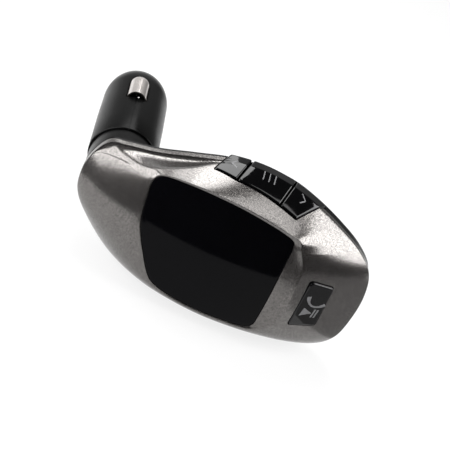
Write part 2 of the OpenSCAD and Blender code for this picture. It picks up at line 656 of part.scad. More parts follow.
board_edge = inward([for (i = [0:cols - 1]) let (p = inner_point(i, inner_rows / 3)) [p[0], p[2]]], board_clear);
module main_board() {
    color([0.05, 0.35, 0.15]) slab(board_front, board_y) difference() {
        intersection() {
            polygon(board_edge);
            translate([-head_w, -head_h]) square([head_w + board_x1, head_h + board_z1]);
        }
        for (s = screws) translate(s) circle(d = spigot_d + 2 * seat);
    }
}
module board_parts() {
    color([0.12, 0.12, 0.12]) {
        for (c = chip_shares) block(c[0] * head_w - plug_inset, head_z + c[1] * head_h,
            c[2] * head_w, c[3] * head_h, board_y, board_y + c[4] * rear_depth);
        // header that carries the key board
        block(key_mid[1][0], key_board_z - header_h / 2, header_w, header_h, board_y, board_y + header_h);
    }
}
module key_board() {
    y0 = key_spot[3][1] + 2 * key_round;
    x0 = key_spot[0][0];
    color([0.05, 0.35, 0.15]) translate([x0, y0, key_board_z])
        cube([key_rear[3][0] - x0 - switch_w, key_back - y0, key_board_t]);
}
// A push switch with its pin, standing along Z
module switch() {
    w = switch_w;
    body = 0.8 * switch_h;
    translate([-w / 2, -w / 2, 0]) cube([w, w, body]);
    cylinder(d = switch_pin_d, h = switch_h);
}
module key_switches() {
    color([0.3, 0.3, 0.3]) for (m = key_mid) translate([m[0], m[1], key_board_z + key_board_t]) switch();
}
module call_board() {
    color([0.05, 0.35, 0.15]) at_pad() slab(call_board_y, call_board_y + key_board_t) difference() {
        square([call_board_w, call_board_h], center = true);
        for (s = [-1, 1]) translate([0, s * call_post_z]) circle(d = call_pin_d + 2 * seat);
    }
}
module call_switch() {
    color([0.3, 0.3, 0.3]) at_pad() for (s = [-1, 1])
        translate([0, call_board_y, s * call_post_z / 2]) rotate([90, 0, 0]) switch();
}

// ---- Ports, microphone, wire, screws ----

module usb_port() {
    y1 = board_y + usb_h;
    zc = usb_z0 + usb_l / 2;
    color([0.75, 0.75, 0.77]) {
        difference() {
            block(usb_x, zc, usb_w, usb_l, board_y, y1);
            block(usb_x, zc - port_wall - over, usb_w - 2 * port_wall, usb_l + 2 * over,
                board_y + port_wall, y1 - port_wall);
        }
        block(usb_x, zc + usb_l / 8, usb_w - 4 * port_wall, 0.75 * usb_l - 2 * port_wall,
            board_y + port_wall + usb_tongue_t / 4, board_y + port_wall + 1.25 * usb_tongue_t);
    }
}
module card_slot() {
    zc = card_z0 + card_l / 2;
    color([0.75, 0.75, 0.77]) difference() {
        block(card_x, zc, card_w, card_l, board_y, board_y + card_t);
        block(card_x, zc - 2 * port_wall, card_w - 2 * port_wall, card_l, board_y + port_wall,
            board_y + card_t - port_wall);
    }
}
module lead_socket() {
    color([0.9, 0.88, 0.8]) block(0, 0, socket_w, socket_h, board_y, boss_end - port_clear);
}
module microphone() {
    color([0.7, 0.7, 0.72]) translate([mic_x, mic_y, mic_z - mic_t]) cylinder(d = mic_d, h = mic_t);
}
module antenna_wire() {
    r = wire_d / 2;
    z0 = key_board_z - header_h - 2 * wire_bend - 0.8 * wire_d;
    x0 = 0.28 * head_w - plug_inset;
    x1 = 0.70 * head_w - plug_inset;
    x2 = 0.50 * head_w - plug_inset;
    color([0.7, 0.1, 0.1]) translate([0, board_y + r, z0]) {
        translate([x0, 0, 0]) rotate([0, 90, 0]) cylinder(r = r, h = x1 - x0, $fn = 24);
        translate([x1, 0, wire_bend]) rotate([90, 0, 0]) rotate([0, 0, -90])
            rotate_extrude(angle = 180) translate([wire_bend, 0]) circle(r = r, $fn = 24);
        translate([x2, 0, 2 * wire_bend]) rotate([0, 90, 0]) cylinder(r = r, h = x1 - x2, $fn = 24);
    }
}
module shell_screws() {
    color([0.3, 0.3, 0.32]) for (s = screws) at(s) {
        rod(screw_head_d, screw_seat, screw_seat + screw_head_t);
        rod(screw_d - seat, screw_seat - screw_l, screw_seat + screw_head_t / 2);
    }
}

// ---- Keys ----

module top_key(k) {
    color([0.05, 0.05, 0.06]) {
        intersection() {
            head_form(key_proud);
            translate([0, 0, key_low]) linear_extrude(head_h) key_outline(k, key_gap);
        }
        translate([0, 0, key_low]) linear_extrude(flange_t) flange_outline(k, key_gap);
    }
}
module prev_key() { top_key(0); }
module channel_key() { top_key(1); }
module next_key() { top_key(2); }
module call_key() {
    color([0.05, 0.05, 0.06]) at_pad() {
        slab(-key_proud, call_flange_y + flange_t) call_outline(key_gap);
        slab(call_flange_y, call_flange_y + flange_t) call_outline(-call_lap);
    }
}

// ---- Plug ----

module plug_body() {
    dome_a = asin(nose_flat_r / nose_r);
    dome = [for (i = [0:14]) let (a = mix(90, dome_a, i / 14))
        [nose_r * sin(a), barrel_l + nose_l * cos(a)]];
    bore = lead_d / 2 + lead_clear;
    tip_hole = tip_r + slide;
    chamber = tip_flange_r + 2 * slide;
    difference() {
        turned(concat([[bore, neck_end], [neck_r, neck_end], [neck_r, ring_end - run_gap],
            [groove_r, ring_end - run_gap], [groove_r, ring_y + run_gap], [neck_r, ring_y + run_gap],
            [neck_r, 0], [plug_r, 0], [plug_r, band_l]], dome,
            [[tip_hole, nose_end], [tip_hole, shoulder_y], [chamber, shoulder_y],
            [chamber, spring_seat], [bore, spring_seat], [bore, cavity_end], [cavity_r, cavity_end],
            [cavity_r, floor_t], [bore, floor_t]]));
        at_seam() for (s = [0, 180]) rotate([0, s, 0]) {
            slot_r = ground_r + ground_clear;
            translate([-slot_r, ground_y0 - ground_clear, 0])
                cube([2 * slot_r, ground_yc - ground_y0 + ground_clear, plug_d]);
            translate([0, ground_yc, 0]) cylinder(r = slot_r, h = plug_d);
            difference() {
                translate([-seam_cut, 0, 0]) cube([2 * seam_cut, barrel_l, plug_d]);
                rod(plug_d - 2 * seam_depth, -over, barrel_l + over);
            }
        }
    }
}
module plug_half(side) {
    color([0.08, 0.08, 0.08]) difference() {
        plug_body();
        at_seam(side * quarter_turn) translate([-plug_d, -plug_d, 0])
            cube([2 * plug_d, barrel_l + nose_l + 2 * plug_d, plug_d]);
    }
}
module plug_half_left() { plug_half(1); }
module plug_half_right() { plug_half(-1); }

module centre_contact() {
    y0 = shoulder_y - run_gap;
    color([0.8, 0.8, 0.82]) turned(concat([[tip_r - tip_wall, y0 - tip_flange_t],
        [tip_flange_r, y0 - tip_flange_t], [tip_flange_r, y0], [tip_r, y0]],
        [for (i = [0:8]) [tip_r * cos(90 * i / 8), tip_end - tip_dome * (1 - sin(90 * i / 8))]],
        [[0, tip_bore_end], [tip_r - tip_wall, tip_bore_end]]));
}
module centre_spring() {
    color([0.7, 0.7, 0.72]) rotate([-90, 0, 0]) coil(2 * (tip_r - tip_wall - slide), 7,
        spring_seat, tip_bore_end - tip_travel - run_gap);
}

// The hood of a side contact, or the space inside it
module hood(r, y0, z0) {
    translate([0, ground_yc, ground_axis]) sphere(r = r);
    translate([0, 0, ground_axis]) rod(2 * r, y0, ground_yc);
    translate([-r, y0, z0]) cube([2 * r, ground_yc - y0, ground_axis - z0]);
    translate([0, ground_yc, z0]) cylinder(r = r, h = ground_axis - z0);
}
module side_contact() {
    lap = ground_r + flange_lap;
    color([0.8, 0.8, 0.82]) difference() {
        union() {
            hood(ground_r, ground_y0, flange_z);
            translate([-lap, ground_y0 - flange_lap, flange_z])
                cube([2 * lap, ground_yc - ground_y0 + flange_lap, ground_t]);
            translate([0, ground_yc, flange_z]) cylinder(r = lap, h = ground_t);
        }
        hood(ground_r - ground_t, ground_y0 - over, flange_z - over);
    }
}
module top_contact() { at_seam() side_contact(); }
module under_contact() { at_seam(180) side_contact(); }
module contact_springs() {
    color([0.7, 0.7, 0.72]) for (s = [0, 180]) at_seam(s) translate([0, ground_mid, 0])
        coil(ground_coil_d, 6, board_t / 2, hood_roof - ground_travel - run_gap);
}
module plug_board() {
    color([0.05, 0.35, 0.15]) at_seam() translate([-plug_board_w / 2, plug_board_y0, -board_t / 2])
        cube([plug_board_w, plug_board_y1 - plug_board_y0, board_t]);
}
module plug_parts() {
    l = plug_board_y1 - plug_board_y0;
    color([0.15, 0.15, 0.16]) at_seam() {
        for (c = plug_part_shares) translate([(c[1] - c[3] / 2) * plug_board_w,
            plug_board_y0 + (c[0] - c[2] / 2) * l, board_t / 2])
            cube([c[3] * plug_board_w, c[2] * l, c[4] * cavity_r]);
        // smoothing capacitor, lying under the board
        translate([0, 0, -(board_t + plug_cap_d) / 2])
            rod(plug_cap_d, plug_board_y0 + shell_lip, plug_board_y0 + shell_lip + plug_cap_l);
    }
}
module power_lead() {
    color([0.1, 0.1, 0.1]) rod(lead_d, boss_end - seat, plug_board_y0);
}
module swivel_ring() {
    color([0.9, 0.9, 0.86]) at_seam() difference() {
        union() {
            rod(2 * ring_r, ring_end, ring_y);
            rotate([-90, 0, 0]) translate([0, 0, ring_end]) rotate([0, 0, -90 - lug_angle / 2])
                rotate_extrude(angle = lug_angle) translate([groove_r, 0])
                square([lug_r - groove_r, ring_t]);
        }
        rod(2 * (groove_r + run_gap), ring_end - over, ring_y + over);
        // mouth that snaps over the neck, opposite the lug
        translate([-0.9 * groove_r, ring_end - over, -plug_d])
            cube([1.8 * groove_r, ring_t + 2 * over, plug_d]);
    }
}
module friction_washer() {
    color([0.75, 0.6, 0.3]) difference() {
        rod(2 * (ring_r - slide), web_y - run_gap - washer_t, web_y - run_gap);
        rod(neck_d + 2 * slide, web_y - washer_t - over, web_y + over);
    }
}

front_shell();
rear_shell();
window_glass();
glass_tape();
lcd_panel();
lcd_holder();
main_board();
board_parts();
key_board();
key_switches();
call_board();
call_switch();
usb_port();
card_slot();
lead_socket();
microphone();
antenna_wire();
shell_screws();
prev_key();
channel_key();
next_key();
call_key();
plug_half_left();
plug_half_right();
centre_contact();
centre_spring();
top_contact();
under_contact();
contact_springs();
plug_board();
plug_parts();
power_lead();
swivel_ring();
friction_washer();
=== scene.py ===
import json
import math
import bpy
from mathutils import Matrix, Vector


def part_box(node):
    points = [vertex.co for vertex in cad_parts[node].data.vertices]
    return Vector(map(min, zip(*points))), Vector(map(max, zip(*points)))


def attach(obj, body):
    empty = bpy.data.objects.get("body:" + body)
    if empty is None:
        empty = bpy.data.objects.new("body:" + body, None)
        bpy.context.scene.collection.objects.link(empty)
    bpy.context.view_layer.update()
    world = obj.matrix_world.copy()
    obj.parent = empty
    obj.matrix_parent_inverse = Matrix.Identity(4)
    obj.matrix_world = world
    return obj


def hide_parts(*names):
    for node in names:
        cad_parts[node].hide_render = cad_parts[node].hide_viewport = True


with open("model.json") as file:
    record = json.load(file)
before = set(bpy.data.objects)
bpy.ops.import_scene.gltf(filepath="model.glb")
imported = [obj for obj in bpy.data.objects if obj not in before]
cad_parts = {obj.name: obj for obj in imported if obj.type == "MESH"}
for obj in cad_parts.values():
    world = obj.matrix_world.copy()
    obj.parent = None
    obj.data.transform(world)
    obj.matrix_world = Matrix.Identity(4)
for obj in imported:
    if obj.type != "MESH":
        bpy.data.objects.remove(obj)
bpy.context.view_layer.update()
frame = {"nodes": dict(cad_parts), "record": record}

from types import SimpleNamespace

import bmesh
import bpy
import numpy as np
from bpy.props import FloatProperty, FloatVectorProperty, PointerProperty
from mathutils import Matrix

bl_info = {
    "name": "Car FM transmitter",
    "version": (1, 0, 0),
    "blender": (4, 5, 0),
    "location": "3D View > Sidebar > FM Transmitter",
    "description": "A 12 V lighter plug with a lens-shaped head, its keys, contacts and finishes",
    "category": "Object",
}

MM = 0.001

# The parting line, from the left end clockwise, as shares of the head's length and height.
RIM_SHARES = [[0, -0.022], [0.005, 0.106], [0.031, 0.220], [0.081, 0.253],
    [0.177, 0.304], [0.272, 0.380], [0.372, 0.455], [0.478, 0.496],
    [0.584, 0.494], [0.690, 0.453], [0.796, 0.386], [0.886, 0.308],
    [0.954, 0.204], [0.988, 0.047], [1, -0.139], [0.993, -0.306],
    [0.948, -0.410], [0.850, -0.453], [0.722, -0.480], [0.574, -0.498],
    [0.425, -0.496], [0.288, -0.478], [0.182, -0.425], [0.071, -0.273],
    [0.018, -0.155]]
# The window, in the same order, as shares of its width and height.
PANE_SHARES = [[0.039, 0.083], [0.016, 0.212], [0, 0.324], [0.008, 0.404],
    [0.057, 0.443], [0.165, 0.471], [0.317, 0.492], [0.520, 0.500],
    [0.703, 0.484], [0.835, 0.459], [0.900, 0.430], [0.919, 0.370],
    [0.933, 0.251], [0.951, 0.096], [0.974, -0.111], [0.994, -0.332],
    [0.996, -0.417], [0.959, -0.464], [0.846, -0.487], [0.663, -0.500],
    [0.480, -0.490], [0.343, -0.461], [0.260, -0.391], [0.144, -0.184],
    [0.073, -0.028]]
# Per column: width and height of the step at the window's edge, fullness of the
# skin, place of the crease, and depth of the hollow above the crease.
COLUMN_SHARES = [[0.06, 0.05, 1.62, 0.20, 0], [0.06, 0.05, 1.80, 0.10, 0.3],
    [0.06, 0.05, 2.05, 0.56, 1], [0.07, 0.10, 2.15, 0.68, 1],
    [0.12, 0.25, 2.10, 0.63, 1], [0.15, 0.35, 1.95, 0.46, 0.9],
    [0.15, 0.35, 1.85, 0.20, 0.1], [0.15, 0.35, 1.85, 0.33, 0],
    [0.15, 0.35, 1.85, 0.40, 0], [0.20, 0.50, 1.85, 0.40, 0],
    [0.35, 0.80, 1.85, 0.40, 0], [0.50, 1, 1.85, 0.40, 0],
    [0.90, 1, 1.85, 0.40, 0], [1, 1, 1.85, 0.40, 0], [1, 1, 1.85, 0.40, 0],
    [0.85, 0.95, 1.80, 0.40, 0], [0.30, 0.60, 1.60, 0.40, 0],
    [0.10, 0.20, 1.40, 0.40, 0], [0.07, 0.10, 1.25, 0.40, 0],
    [0.07, 0.10, 1.20, 0.40, 0], [0.07, 0.10, 1.25, 0.40, 0],
    [0.07, 0.05, 1.35, 0.40, 0], [0.06, 0.05, 1.50, 0.40, 0],
    [0.06, 0.05, 1.55, 0.40, 0], [0.06, 0.05, 1.60, 0.35, 0]]
# Edges of the three top keys: front and rear as shares of the head's length, and
# depth of the front corner as a share of the front shell's depth.
KEY_SHARES = [[0.332, 0.373, 0.410], [0.4075, 0.4454, 0.540],
    [0.559, 0.5966, 0.623], [0.625, 0.727, 0.662]]
# Corners of the call key, as shares of the room right of the window and of the head's height.
CALL_SHARES = [[-0.221, 0.182], [0.127, 0.157], [0.228, -0.159], [-0.134, -0.180]]
SCREW_SHARES = [[0.249, 0.272], [0.317, -0.410], [0.840, -0.385], [0.790, 0.270]]
SCREW_LEVELS = [-6.43 * MM, -6.80 * MM, -4.13 * MM, -3.64 * MM]  # of the back's skin there
SCREW_SEAT = -7.8 * MM       # level that the screws' heads rest on
NOSE_GAP = 0.8 * MM          # from the side contacts' ends to the nose
NOSE_FLAT = 4 * MM           # radius of the nose's flat end
KEY_DEPTH = 3.7 * MM         # depth of the keys' sides
TAPE_T, LEDGE_T, LEDGE_W = 0.2 * MM, 1.2 * MM, 1.3 * MM
PORTS = ((0.496, 13.6, 6.0), (0.706, 12.4, 1.9))  # share of the head's length, sides in mm
PORT_TOP = -0.012            # level that the openings in the underside reach up to
CREASE_ROW, LAST_ROW = 4, 9  # rows of the front skin, from the rim to the window's lip
SPAN_COLUMNS = 24            # columns of the loft between two of the shares
ROUND_STEPS = 128            # points round a turned piece
SHARP = math.radians(35)     # edges above this angle stay sharp


# ---- Sizes and colours ----

def length(name, description, default):
    """A size in metres."""
    return FloatProperty(name=name, description=description, default=default, min=0.0,
                         unit="LENGTH", precision=5)


def colour(name, description, default):
    """A linear colour."""
    return FloatVectorProperty(name=name, description=description, default=default,
                               subtype="COLOR", size=3, min=0.0, max=1.0)


class HeadSizes(bpy.types.PropertyGroup):
    """Sizes of the two shells"""
    head_w: length("Head length", "Length of the head", 0.0952)
    head_h: length("Head height", "Height of the head", 0.051)
    plug_inset: length("Plug inset", "Distance from the head's left end to the plug's axis", 0.0102)
    front_depth: length("Front depth", "Depth of the front shell", 0.0154)
    rear_depth: length("Rear depth", "Depth of the rear shell", 0.008)
    back_gap: length("Back gap", "Distance from the flat back to the plug's shoulder", 0.002)
    wall: length("Wall", "Wall of both shells", 0.0018)
    front_skirt: length("Front skirt", "Straight side of the front shell", 0.002)
    rear_skirt: length("Rear skirt", "Straight side of the rear shell", 0.0025)
    seam_gap: length("Seam gap", "Shadow gap between the shells", 0.0003)
    hollow: length("Hollow", "Depth of the hollow above the crease", 0.0013)


class WindowSizes(bpy.types.PropertyGroup):
    """Sizes of the display window"""
    window_w: length("Window width", "Width of the display window", 0.0492)
    window_h: length("Window height", "Height of the display window", 0.0386)
    window_x: length("Window place", "Distance from the head's left end to the window", 0.0176)
    glass_t: length("Glass thickness", "Thickness of the window glass", 0.0013)
    glass_r: length("Glass radius", "Radius that the glass is domed to", 0.2)
    glass_gap: length("Glass gap", "Gap round the glass", 0.00015)
    lip_w: length("Step width", "Width of the sloping step right of the window", 0.0056)
    lip_rise: length("Step height", "Height of that step above the glass", 0.0013)


class KeySizes(bpy.types.PropertyGroup):
    """Sizes of the keys"""
    gap: length("Key gap", "Gap round each key", 0.00025)
    proud: length("Key height", "Height that the keys stand proud of the shell", 0.0004)
    corner: length("Key corner", "Radius of a top key's corners", 0.0006)
    call_corner: length("Call key corner", "Radius of the call key's corners", 0.0012)
    edge: length("Key edge", "Radius of the keys' upper edges", 0.0004)
    call_turn: FloatProperty(name="Pad angle", description="Turn of the call key's pad",
                             default=math.radians(25.5), subtype="ANGLE")


class PlugSizes(bpy.types.PropertyGroup):
    """Sizes of the lighter plug and its contacts"""
    plug_d: length("Plug diameter", "Outer diameter of the barrel", 0.0208)
    barrel_l: length("Barrel length", "Straight length of the barrel", 0.032)
    nose_l: length("Nose length", "Length of the nose if it ran to a point", 0.0138)
    draft: length("Draft", "Draft of the barrel's nose end", 0.0002)
    wall: length("Barrel wall", "Wall of the barrel", 0.0022)
    neck_d: length("Neck diameter", "Diameter of the neck in the head", 0.01)
    ground_w: length("Side contact width", "Width of a side contact", 0.0061)
    ground_l: length("Side contact length", "Length of a side contact", 0.012)
    ground_proud: length("Side contact height", "Height above the barrel", 0.0019)
    ground_t: length("Sheet", "Sheet thickness of a side contact", 0.00045)
    tip_d: length("Centre contact", "Diameter of the centre contact", 0.006)
    tip_out: length("Centre contact reach", "Length that it stands out of the nose", 0.0034)
    seam_turn: FloatProperty(name="Seam angle", description="Lean of the plug's seam",
                             default=math.radians(14.5), subtype="ANGLE")


class Finishes(bpy.types.PropertyGroup):
    """Colours of the finishes"""
    paint: colour("Paint", "Metallic gunmetal paint of the front shell", (0.135, 0.1275, 0.1225))
    gloss: colour("Gloss black", "Glossy keys", (0.0012, 0.0012, 0.0014))
    satin: colour("Satin black", "Moulded plug and rear shell", (0.0015, 0.0015, 0.0015))
    glass: colour("Window", "Tinted window", (0.0015, 0.0015, 0.002))
    print: colour("Marks", "Printed marks on the keys", (0.16, 0.16, 0.165))
    nickel: colour("Nickel", "Plated contacts", (0.78, 0.73, 0.70))
    board: colour("Board", "Solder mask of the circuit boards", (0.012, 0.09, 0.03))
    floor: colour("Floor", "Pale studio floor", (0.85, 0.85, 0.85))


# ---- The head's form ----

def closed_curve(points):
    """Catmull-Rom curve through closed points: in each span the cubic blend of its
    two ends and their two neighbours, sampled SPAN_COLUMNS times."""
    p = np.asarray(points, float)
    a, b, c, d = (np.roll(p, s, 0)[:, None, :] for s in (1, 0, -1, -2))
    t = (np.arange(SPAN_COLUMNS) / SPAN_COLUMNS)[None, :, None]
    q = (2 * b + (c - a) * t + (2 * a - 5 * b + 4 * c - d) * t ** 2
         + (3 * b - a - 3 * c + d) * t ** 3) / 2
    return q.reshape(-1, p.shape[1])


def inward(p, d):
    """The closed curve p (clockwise) with each point moved d along its inner normal."""
    t = np.roll(p, -1, 0) - np.roll(p, 1, 0)
    t = t / np.linalg.norm(t, axis=1, keepdims=True)
    return p + d * np.stack([t[:, 1], -t[:, 0]], 1)


def mix(a, b, t):
    """a + (b - a) t."""
    return a + (b - a) * t


def bow(t, e):
    """Superellipse of exponent e: 1 - cos^e inwards and sin^e deep, over a quarter turn t."""
    return 1 - np.clip(np.cos(t * np.pi / 2), 0, 1) ** e, np.clip(np.sin(t * np.pi / 2), 0, 1) ** e


def form(scene):
    """The curves and levels that the shells, keys and window share, from the panel's sizes."""
    h, w = scene.fm_head, scene.fm_window
    f = SimpleNamespace(h=h, w=w, k=scene.fm_keys)
    f.flat_y = -h.back_gap
    f.part_y = f.flat_y - h.rear_depth
    f.glass_y = f.part_y - h.front_depth
    f.head_z = -0.9 / 51 * h.head_h
    f.window_z = -1.7 / 38.6 * w.window_h
    f.glass_x = w.window_x - h.plug_inset + w.window_w / 2
    f.rim = closed_curve(np.array(RIM_SHARES) * [h.head_w, h.head_h]
                         + [-h.plug_inset, f.head_z])
    f.pane = closed_curve(np.array(PANE_SHARES) * [w.window_w, w.window_h]
                          + [w.window_x - h.plug_inset, f.window_z])
    f.column = closed_curve(COLUMN_SHARES)
    f.lip = mix(f.pane, inward(f.pane, -w.lip_w), f.column[:, :1])
    f.back_mid = np.array([0.46 * h.head_w - h.plug_inset, f.head_z])
    f.key_back = f.part_y + h.rear_depth / 4
    f.key_spot = np.array([[k[0] * h.head_w - h.plug_inset, f.part_y - k[2] * h.front_depth]
                           for k in KEY_SHARES])
    f.key_rear = np.array([[k[1] * h.head_w - h.plug_inset, f.key_back] for k in KEY_SHARES])
    f.key_low = f.head_z + 0.282 * h.head_h + KEY_DEPTH
    right = h.head_w - w.window_x - w.window_w
    f.call_at = np.array([h.head_w - h.plug_inset - 0.5766 * right, f.head_z - 0.055 * h.head_h])
    f.call_quad = np.array(CALL_SHARES) * [right, h.head_h]
    f.screws = np.array(SCREW_SHARES) * [h.head_w, h.head_h] + [-h.plug_inset, f.head_z]
    return f


def dome(f, p, d=0.0):
    """Level of a sphere of the glass's radius less d, over points p = (x, z)."""
    return f.glass_y + f.w.glass_r - np.sqrt((f.w.glass_r - d) ** 2
        - (p[..., 0] - f.glass_x) ** 2 - (p[..., 1] - f.window_z) ** 2)


def raised(p, y):
    """Points (x, y, z) from a curve in x and z and its level y."""
    return np.stack([p[..., 0], np.broadcast_to(y, p.shape[:-1]), p[..., 1]], -1)


def dent(f, t):
    """Move of the wall in the hollow: half a sine from the rim to the crease, down and back."""
    crease, weight = f.column[None, :, 3], f.column[None, :, 4]
    h = f.h.hollow * weight * np.where(t < crease, np.sin(np.pi * t / crease), 0)
    return h[..., None] * [0.1, 0.3, -0.95]


def skin(f, rows):
    """Front skin: column i is a superellipse from the rim to the window's lip, with the
    crease at CREASE_ROW and a half-sine hollow above it. rows is the row of each ring."""
    k = np.asarray(rows, float)[:, None]
    c = f.column
    crease = c[None, :, 3]
    t = np.minimum(1, np.where(k <= CREASE_ROW, crease * k / CREASE_ROW,
        crease + (1 - crease) * (k - CREASE_ROW) / (LAST_ROW - CREASE_ROW)))
    b0, b1 = bow(t, c[None, :, 2])
    p = mix(f.rim[None], f.lip[None], b0[..., None])
    y = mix(f.part_y - f.h.front_skirt, (dome(f, f.lip) - c[:, 1] * f.w.lip_rise)[None], b1)
    return raised(p, y) + dent(f, t)


def rear_skin(f, rows, start, level):
    """Rear skin: a superellipse from the curve start at the parting line to the flat back,
    slim behind the plug and full at the far end."""
    t = np.asarray(rows, float)[:, None]
    u = np.clip(((start[:, 0] + f.h.plug_inset) / f.h.head_w - 0.3) / 0.35, 0, 1)
    full = (u * u * (3 - 2 * u))[None]
    b0, b1 = bow(t, mix(1.8, 1.1, full))
    p = mix(start[None], mix(start, f.back_mid, 0.55)[None], b0[..., None])
    y0 = f.part_y + f.h.rear_skirt * mix(0.3, 1, full)
    return raised(p, mix(y0, level, b1))


def softened(rings, at):
    """Rings with the ones listed in at moved twice to the 1-2-1 mean of themselves and
    their neighbours, which rounds a crease."""
    q = rings.copy()
    for _ in range(2):
        q[at] = (q[at - 1] + 2 * q[at] + q[at + 1]) / 4
    return q


# ---- Meshes ----

def grid_faces(rows, cols, wrap_rows=False, wrap_cols=False):
    """Quads between the neighbours of a grid of points, and from the last row or column
    to the first one where that is asked for."""
    i = np.arange(cols if wrap_cols else cols - 1)
    r = np.arange(rows if wrap_rows else rows - 1)[:, None]
    j, s = (i + 1) % cols, (r + 1) % rows
    return np.stack([r * cols + i, r * cols + j, s * cols + j, s * cols + i], -1).reshape(-1, 4)


def new_piece(name, points, faces):
    """A mesh object at the origin from points in metres. Its faces are turned outwards by
    the sign of the volume that they enclose."""
    v = np.asarray(points, float).reshape(-1, 3)
    volume = sum(np.einsum("ij,ij->", v[q[:, 0]], np.cross(v[q[:, k]], v[q[:, k + 1]]))
                 for q in faces for k in range(1, q.shape[1] - 1))
    polys = [p for q in faces for p in (q if volume > 0 else q[:, ::-1]).tolist()]
    mesh = bpy.data.meshes.new(name)
    mesh.from_pydata(v.tolist(), [], polys)
    mesh.validate()
    return finish_piece(bpy.data.objects.new(name, mesh))


def finish_piece(piece):
    """Links the piece and shades it smooth up to the angle SHARP."""
    if piece.name not in bpy.context.scene.collection.objects:
        bpy.context.scene.collection.objects.link(piece)
    piece.data.shade_smooth()
    piece.data.set_sharp_from_angle(angle=SHARP)
    return piece


def closed_rings(name, rings):
    """A closed piece from rings of points, with a middle point that closes each end."""
    q = np.asarray(rings, float)
    rows, cols = q.shape[:2]
    i = np.arange(cols)
    j = (i + 1) % cols
    first, last = rows * cols, rows * cols + 1
    caps = np.stack([np.full(cols, first), j, i], 1), \
        np.stack([np.full(cols, last), (rows - 1) * cols + i, (rows - 1) * cols + j], 1)
    points = np.concatenate([q.reshape(-1, 3), [q[0].mean(0)], [q[-1].mean(0)]])
    return new_piece(name, points, [grid_faces(rows, cols, wrap_cols=True), *caps])


def tube(name, rings):
    """A closed piece from rings whose last one joins the first one."""
    q = np.asarray(rings, float)
    return new_piece(name, q, [grid_faces(*q.shape[:2], wrap_rows=True, wrap_cols=True)])


def circle(steps, r=1.0, at=(0, 0)):
    """Points round a circle of radius r about at."""
    a = np.linspace(0, 2 * np.pi, steps, endpoint=False)
    return np.stack([at[0] + r * np.cos(a), at[1] + r * np.sin(a)], 1)


def lathe(name, profile, steps):
    """Profile (radius, y) carried round the Y axis: x = r cos a, z = r sin a."""
    p = np.asarray(profile, float)
    c = circle(steps).T
    return tube(name, np.stack([p[:, :1] * c[:1], np.broadcast_to(p[:, 1:], (len(p), steps)),
                                p[:, :1] * c[1:]], -1))


def prism(name, outline, low, high, axes="xyz"):
    """The flat outline carried straight from low to high, on the named axes."""
    p = np.asarray(outline, float)
    q = np.zeros((2, len(p), 3))
    order = ["xyz".index(a) for a in axes]
    q[..., order[0]], q[..., order[1]] = p[:, 0], p[:, 1]
    q[0, :, order[2]], q[1, :, order[2]] = low, high
    return closed_rings(name, q)


def block(name, x, y, z):
    """A box between the pairs x, y and z."""
    return prism(name, [[x[0], y[0]], [x[1], y[0]], [x[1], y[1]], [x[0], y[1]]], z[0], z[1])


def rod(name, r, y0, y1, at=(0, 0), steps=64):
    """A round rod along Y."""
    return prism(name, circle(steps, r, at), y0, y1, "xzy")


def turn_y(piece, degrees):
    """Turns the piece's mesh about the Y axis, as seen in the plug's frame."""
    piece.data.transform(Matrix.Rotation(math.radians(degrees), 4, "Y"))
    return piece


def combine(piece, *tools, operation="DIFFERENCE"):
    """Cuts the tools out of the piece, or joins them to it, and removes them."""
    for tool in tools:
        step = piece.modifiers.new("step", "BOOLEAN")
        step.operation, step.solver, step.object = operation, "MANIFOLD", tool
        evaluated = piece.evaluated_get(bpy.context.evaluated_depsgraph_get())
        mesh = bpy.data.meshes.new_from_object(evaluated)
        if len(mesh.polygons) == 0:
            raise RuntimeError(f"{piece.name} has no faces left after {tool.name}")
        old = piece.data
        piece.modifiers.clear()
        piece.data = mesh
        bpy.data.meshes.remove(old)
        bpy.data.objects.remove(tool)
    piece.data.name = piece.name
    return finish_piece(piece)


def duplicate(piece, name):
    """A copy of the piece with its own mesh."""
    twin = piece.copy()
    twin.data = piece.data.copy()
    twin.name = twin.data.name = name
    bpy.context.scene.collection.objects.link(twin)
    return twin


def joined(name, pieces):
    """One finished piece that holds the meshes of all of these."""
    with bpy.context.temp_override(active_object=pieces[0], object=pieces[0],
                                   selected_objects=pieces, selected_editable_objects=pieces):
        bpy.ops.object.join()
    pieces[0].name = pieces[0].data.name = name
    return finish_piece(pieces[0])


# ---- Flat outlines ----

def corner_sides(p):
    """Unit vectors from each corner of a polygon to the one before it and the one after."""
    return (v / np.linalg.norm(v, axis=1, keepdims=True)
            for v in (np.roll(p, 1, 0) - p, np.roll(p, -1, 0) - p))


def shrunk(p, d):
    """A convex polygon with every side moved d inwards."""
    a, b = corner_sides(p)
    s = np.sqrt((1 - (a * b).sum(1)) / 2)[:, None]
    return p + d * (a + b) / np.linalg.norm(a + b, axis=1, keepdims=True) / s


def rounded(p, r, steps=10):
    """A polygon whose corners are arcs of radius r that touch both sides."""
    a, b = corner_sides(p)
    half = np.arccos(np.clip((a * b).sum(1), -1, 1))[:, None] / 2
    start, end = p + a * r / np.tan(half), p + b * r / np.tan(half)
    bisector = (a + b) / np.maximum(np.linalg.norm(a + b, axis=1, keepdims=True), 1e-9)
    mid = p + bisector * r / np.sin(half)
    turn = np.maximum(np.pi - 2 * half, 1e-4)[:, :, None]
    t = np.linspace(0, 1, steps)[None, :, None]
    q = mid[:, None] + ((start - mid)[:, None] * np.sin((1 - t) * turn)
                        + (end - mid)[:, None] * np.sin(t * turn)) / np.sin(turn)
    return q.reshape(-1, 2)


